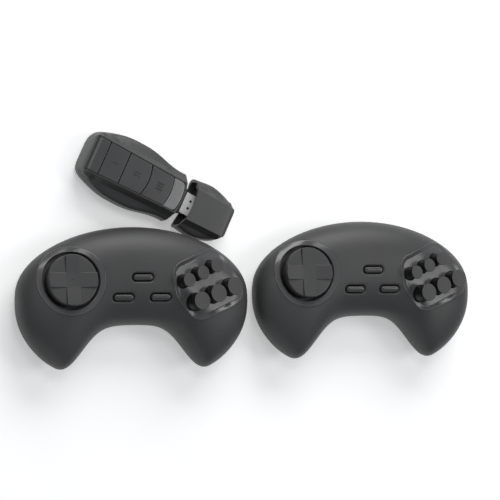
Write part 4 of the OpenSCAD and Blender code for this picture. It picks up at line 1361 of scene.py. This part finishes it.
# %% [markdown]
# ## Floor, light and camera
# The set lies on a plain table. A large soft light stands behind it, so the curved backs and rims carry one
# broad highlight. Three weak lamps fill the right side, the top and the front, and the world adds a faint even
# light. The table's colour depends on the ray that meets it, which the Light Path node tells: a ray from the
# camera, or one by way of gloss or glass, sees white, while the light that the table throws back on the set
# comes from a grey. So the ground is white without more light on the set, and still keeps its soft shadows.

# %% Table
def table():
    mesh = bpy.data.meshes.new("table")
    half, z = 3.0, -0.0002
    mesh.from_pydata([(-half, -half, z), (half, -half, z), (half, half, z), (-half, half, z)], [], [(0, 1, 2, 3)])
    top = bpy.data.objects.new("table", mesh)
    bpy.context.scene.collection.objects.link(top)
    material, s, feed = finish("table_top", Roughness=0.9, Specular_IOR_Level=0.2, Emission_Strength=1.0)
    camera_ray, glossy_ray, transmission_ray = (s.node("ShaderNodeLightPath", output=ray) for ray in (0, 3, 6))
    seen = s.math("MINIMUM", camera_ray + glossy_ray + transmission_ray, 1.0)
    white = s.blend(s.noise(60.0).between(0.3, 0.7), grey(0.96), grey(0.97))
    feed(
        Base_Color=s.blend(seen, grey(0.75), white),
        Emission_Color=s.blend(seen, grey(0.0), grey(0.62)),
    )
    mesh.materials.append(material)
    top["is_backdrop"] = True
    return top


table()

# %% World and lamps
scene = bpy.context.scene
world = bpy.data.worlds.new("studio")
scene.world = world
world.use_nodes = True
background = world.node_tree.nodes["Background"].inputs
background["Color"].default_value = (0.93, 0.96, 1.0, 1.0)
background["Strength"].default_value = 0.27


def softbox(name, spot, target, width, height, power):
    light = bpy.data.lights.new(name, "AREA")
    light.shape, light.size, light.size_y, light.energy = "RECTANGLE", width, height, power
    lamp = bpy.data.objects.new(name, light)
    scene.collection.objects.link(lamp)
    lamp.location = spot
    lamp.rotation_euler = (Vector(target) - Vector(spot)).to_track_quat("-Z", "Y").to_euler()
    return lamp


low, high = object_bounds()
middle = (Vector(low) + Vector(high)) / 2
softbox("key_light", (0.35, 1.22, 0.82), middle, 1.3, 0.7, 16.0)
softbox("side_light", (1.02, -0.02, 1.12), middle, 0.55, 0.55, 3.5)
softbox("top_light", (-0.3, 0.45, 1.3), middle, 0.4, 0.4, 2.0)
softbox("front_light", (-0.5, -1.3, 0.45), middle, 1.0, 0.4, 1.6)

# %% [markdown]
# The camera looks down steeply and a little from the left through a long lens, which keeps the two controllers
# alike. It measures how far the pieces reach along its own right, up and depth, aims at the middle of that and
# sets its lens to the width, so a change of size never crops the picture.

# %% Camera
LEAN = np.radians(25)
LOOK = Vector((-np.sin(LEAN), 0.0, np.cos(LEAN)))
DISTANCE, FILL = 1.6, 0.94
RIGHT = Vector((0, 1, 0)).cross(LOOK)
UP = LOOK.cross(RIGHT)
pieces = [item for item in scene.objects if item.type == "MESH" and not item.hide_render and item.name != "table"]
corners = [item.matrix_world @ Vector(corner) for item in pieces for corner in item.bound_box]
spans = [[f(corner.dot(way) for corner in corners) for f in (min, max)] for way in (RIGHT, UP, LOOK)]
target = sum((way * sum(span) / 2 for way, span in zip((RIGHT, UP, LOOK), spans)), Vector())
VIEW_WIDTH = (spans[0][1] - spans[0][0]) / FILL
camera = bpy.data.objects.new("camera", bpy.data.cameras.new("camera"))
scene.collection.objects.link(camera)
eye = target + LOOK * DISTANCE
camera.location = eye
camera.rotation_euler = Matrix((RIGHT, UP, LOOK)).transposed().to_euler()
camera.data.sensor_width = 36.0
camera.data.lens = 36.0 * DISTANCE / VIEW_WIDTH
camera.data.clip_start, camera.data.clip_end = 0.05, 20.0
scene.camera = camera
scene.view_settings.view_transform = "Standard"
print("camera", tuple(round(v, 3) for v in eye), "lens", round(camera.data.lens, 1))
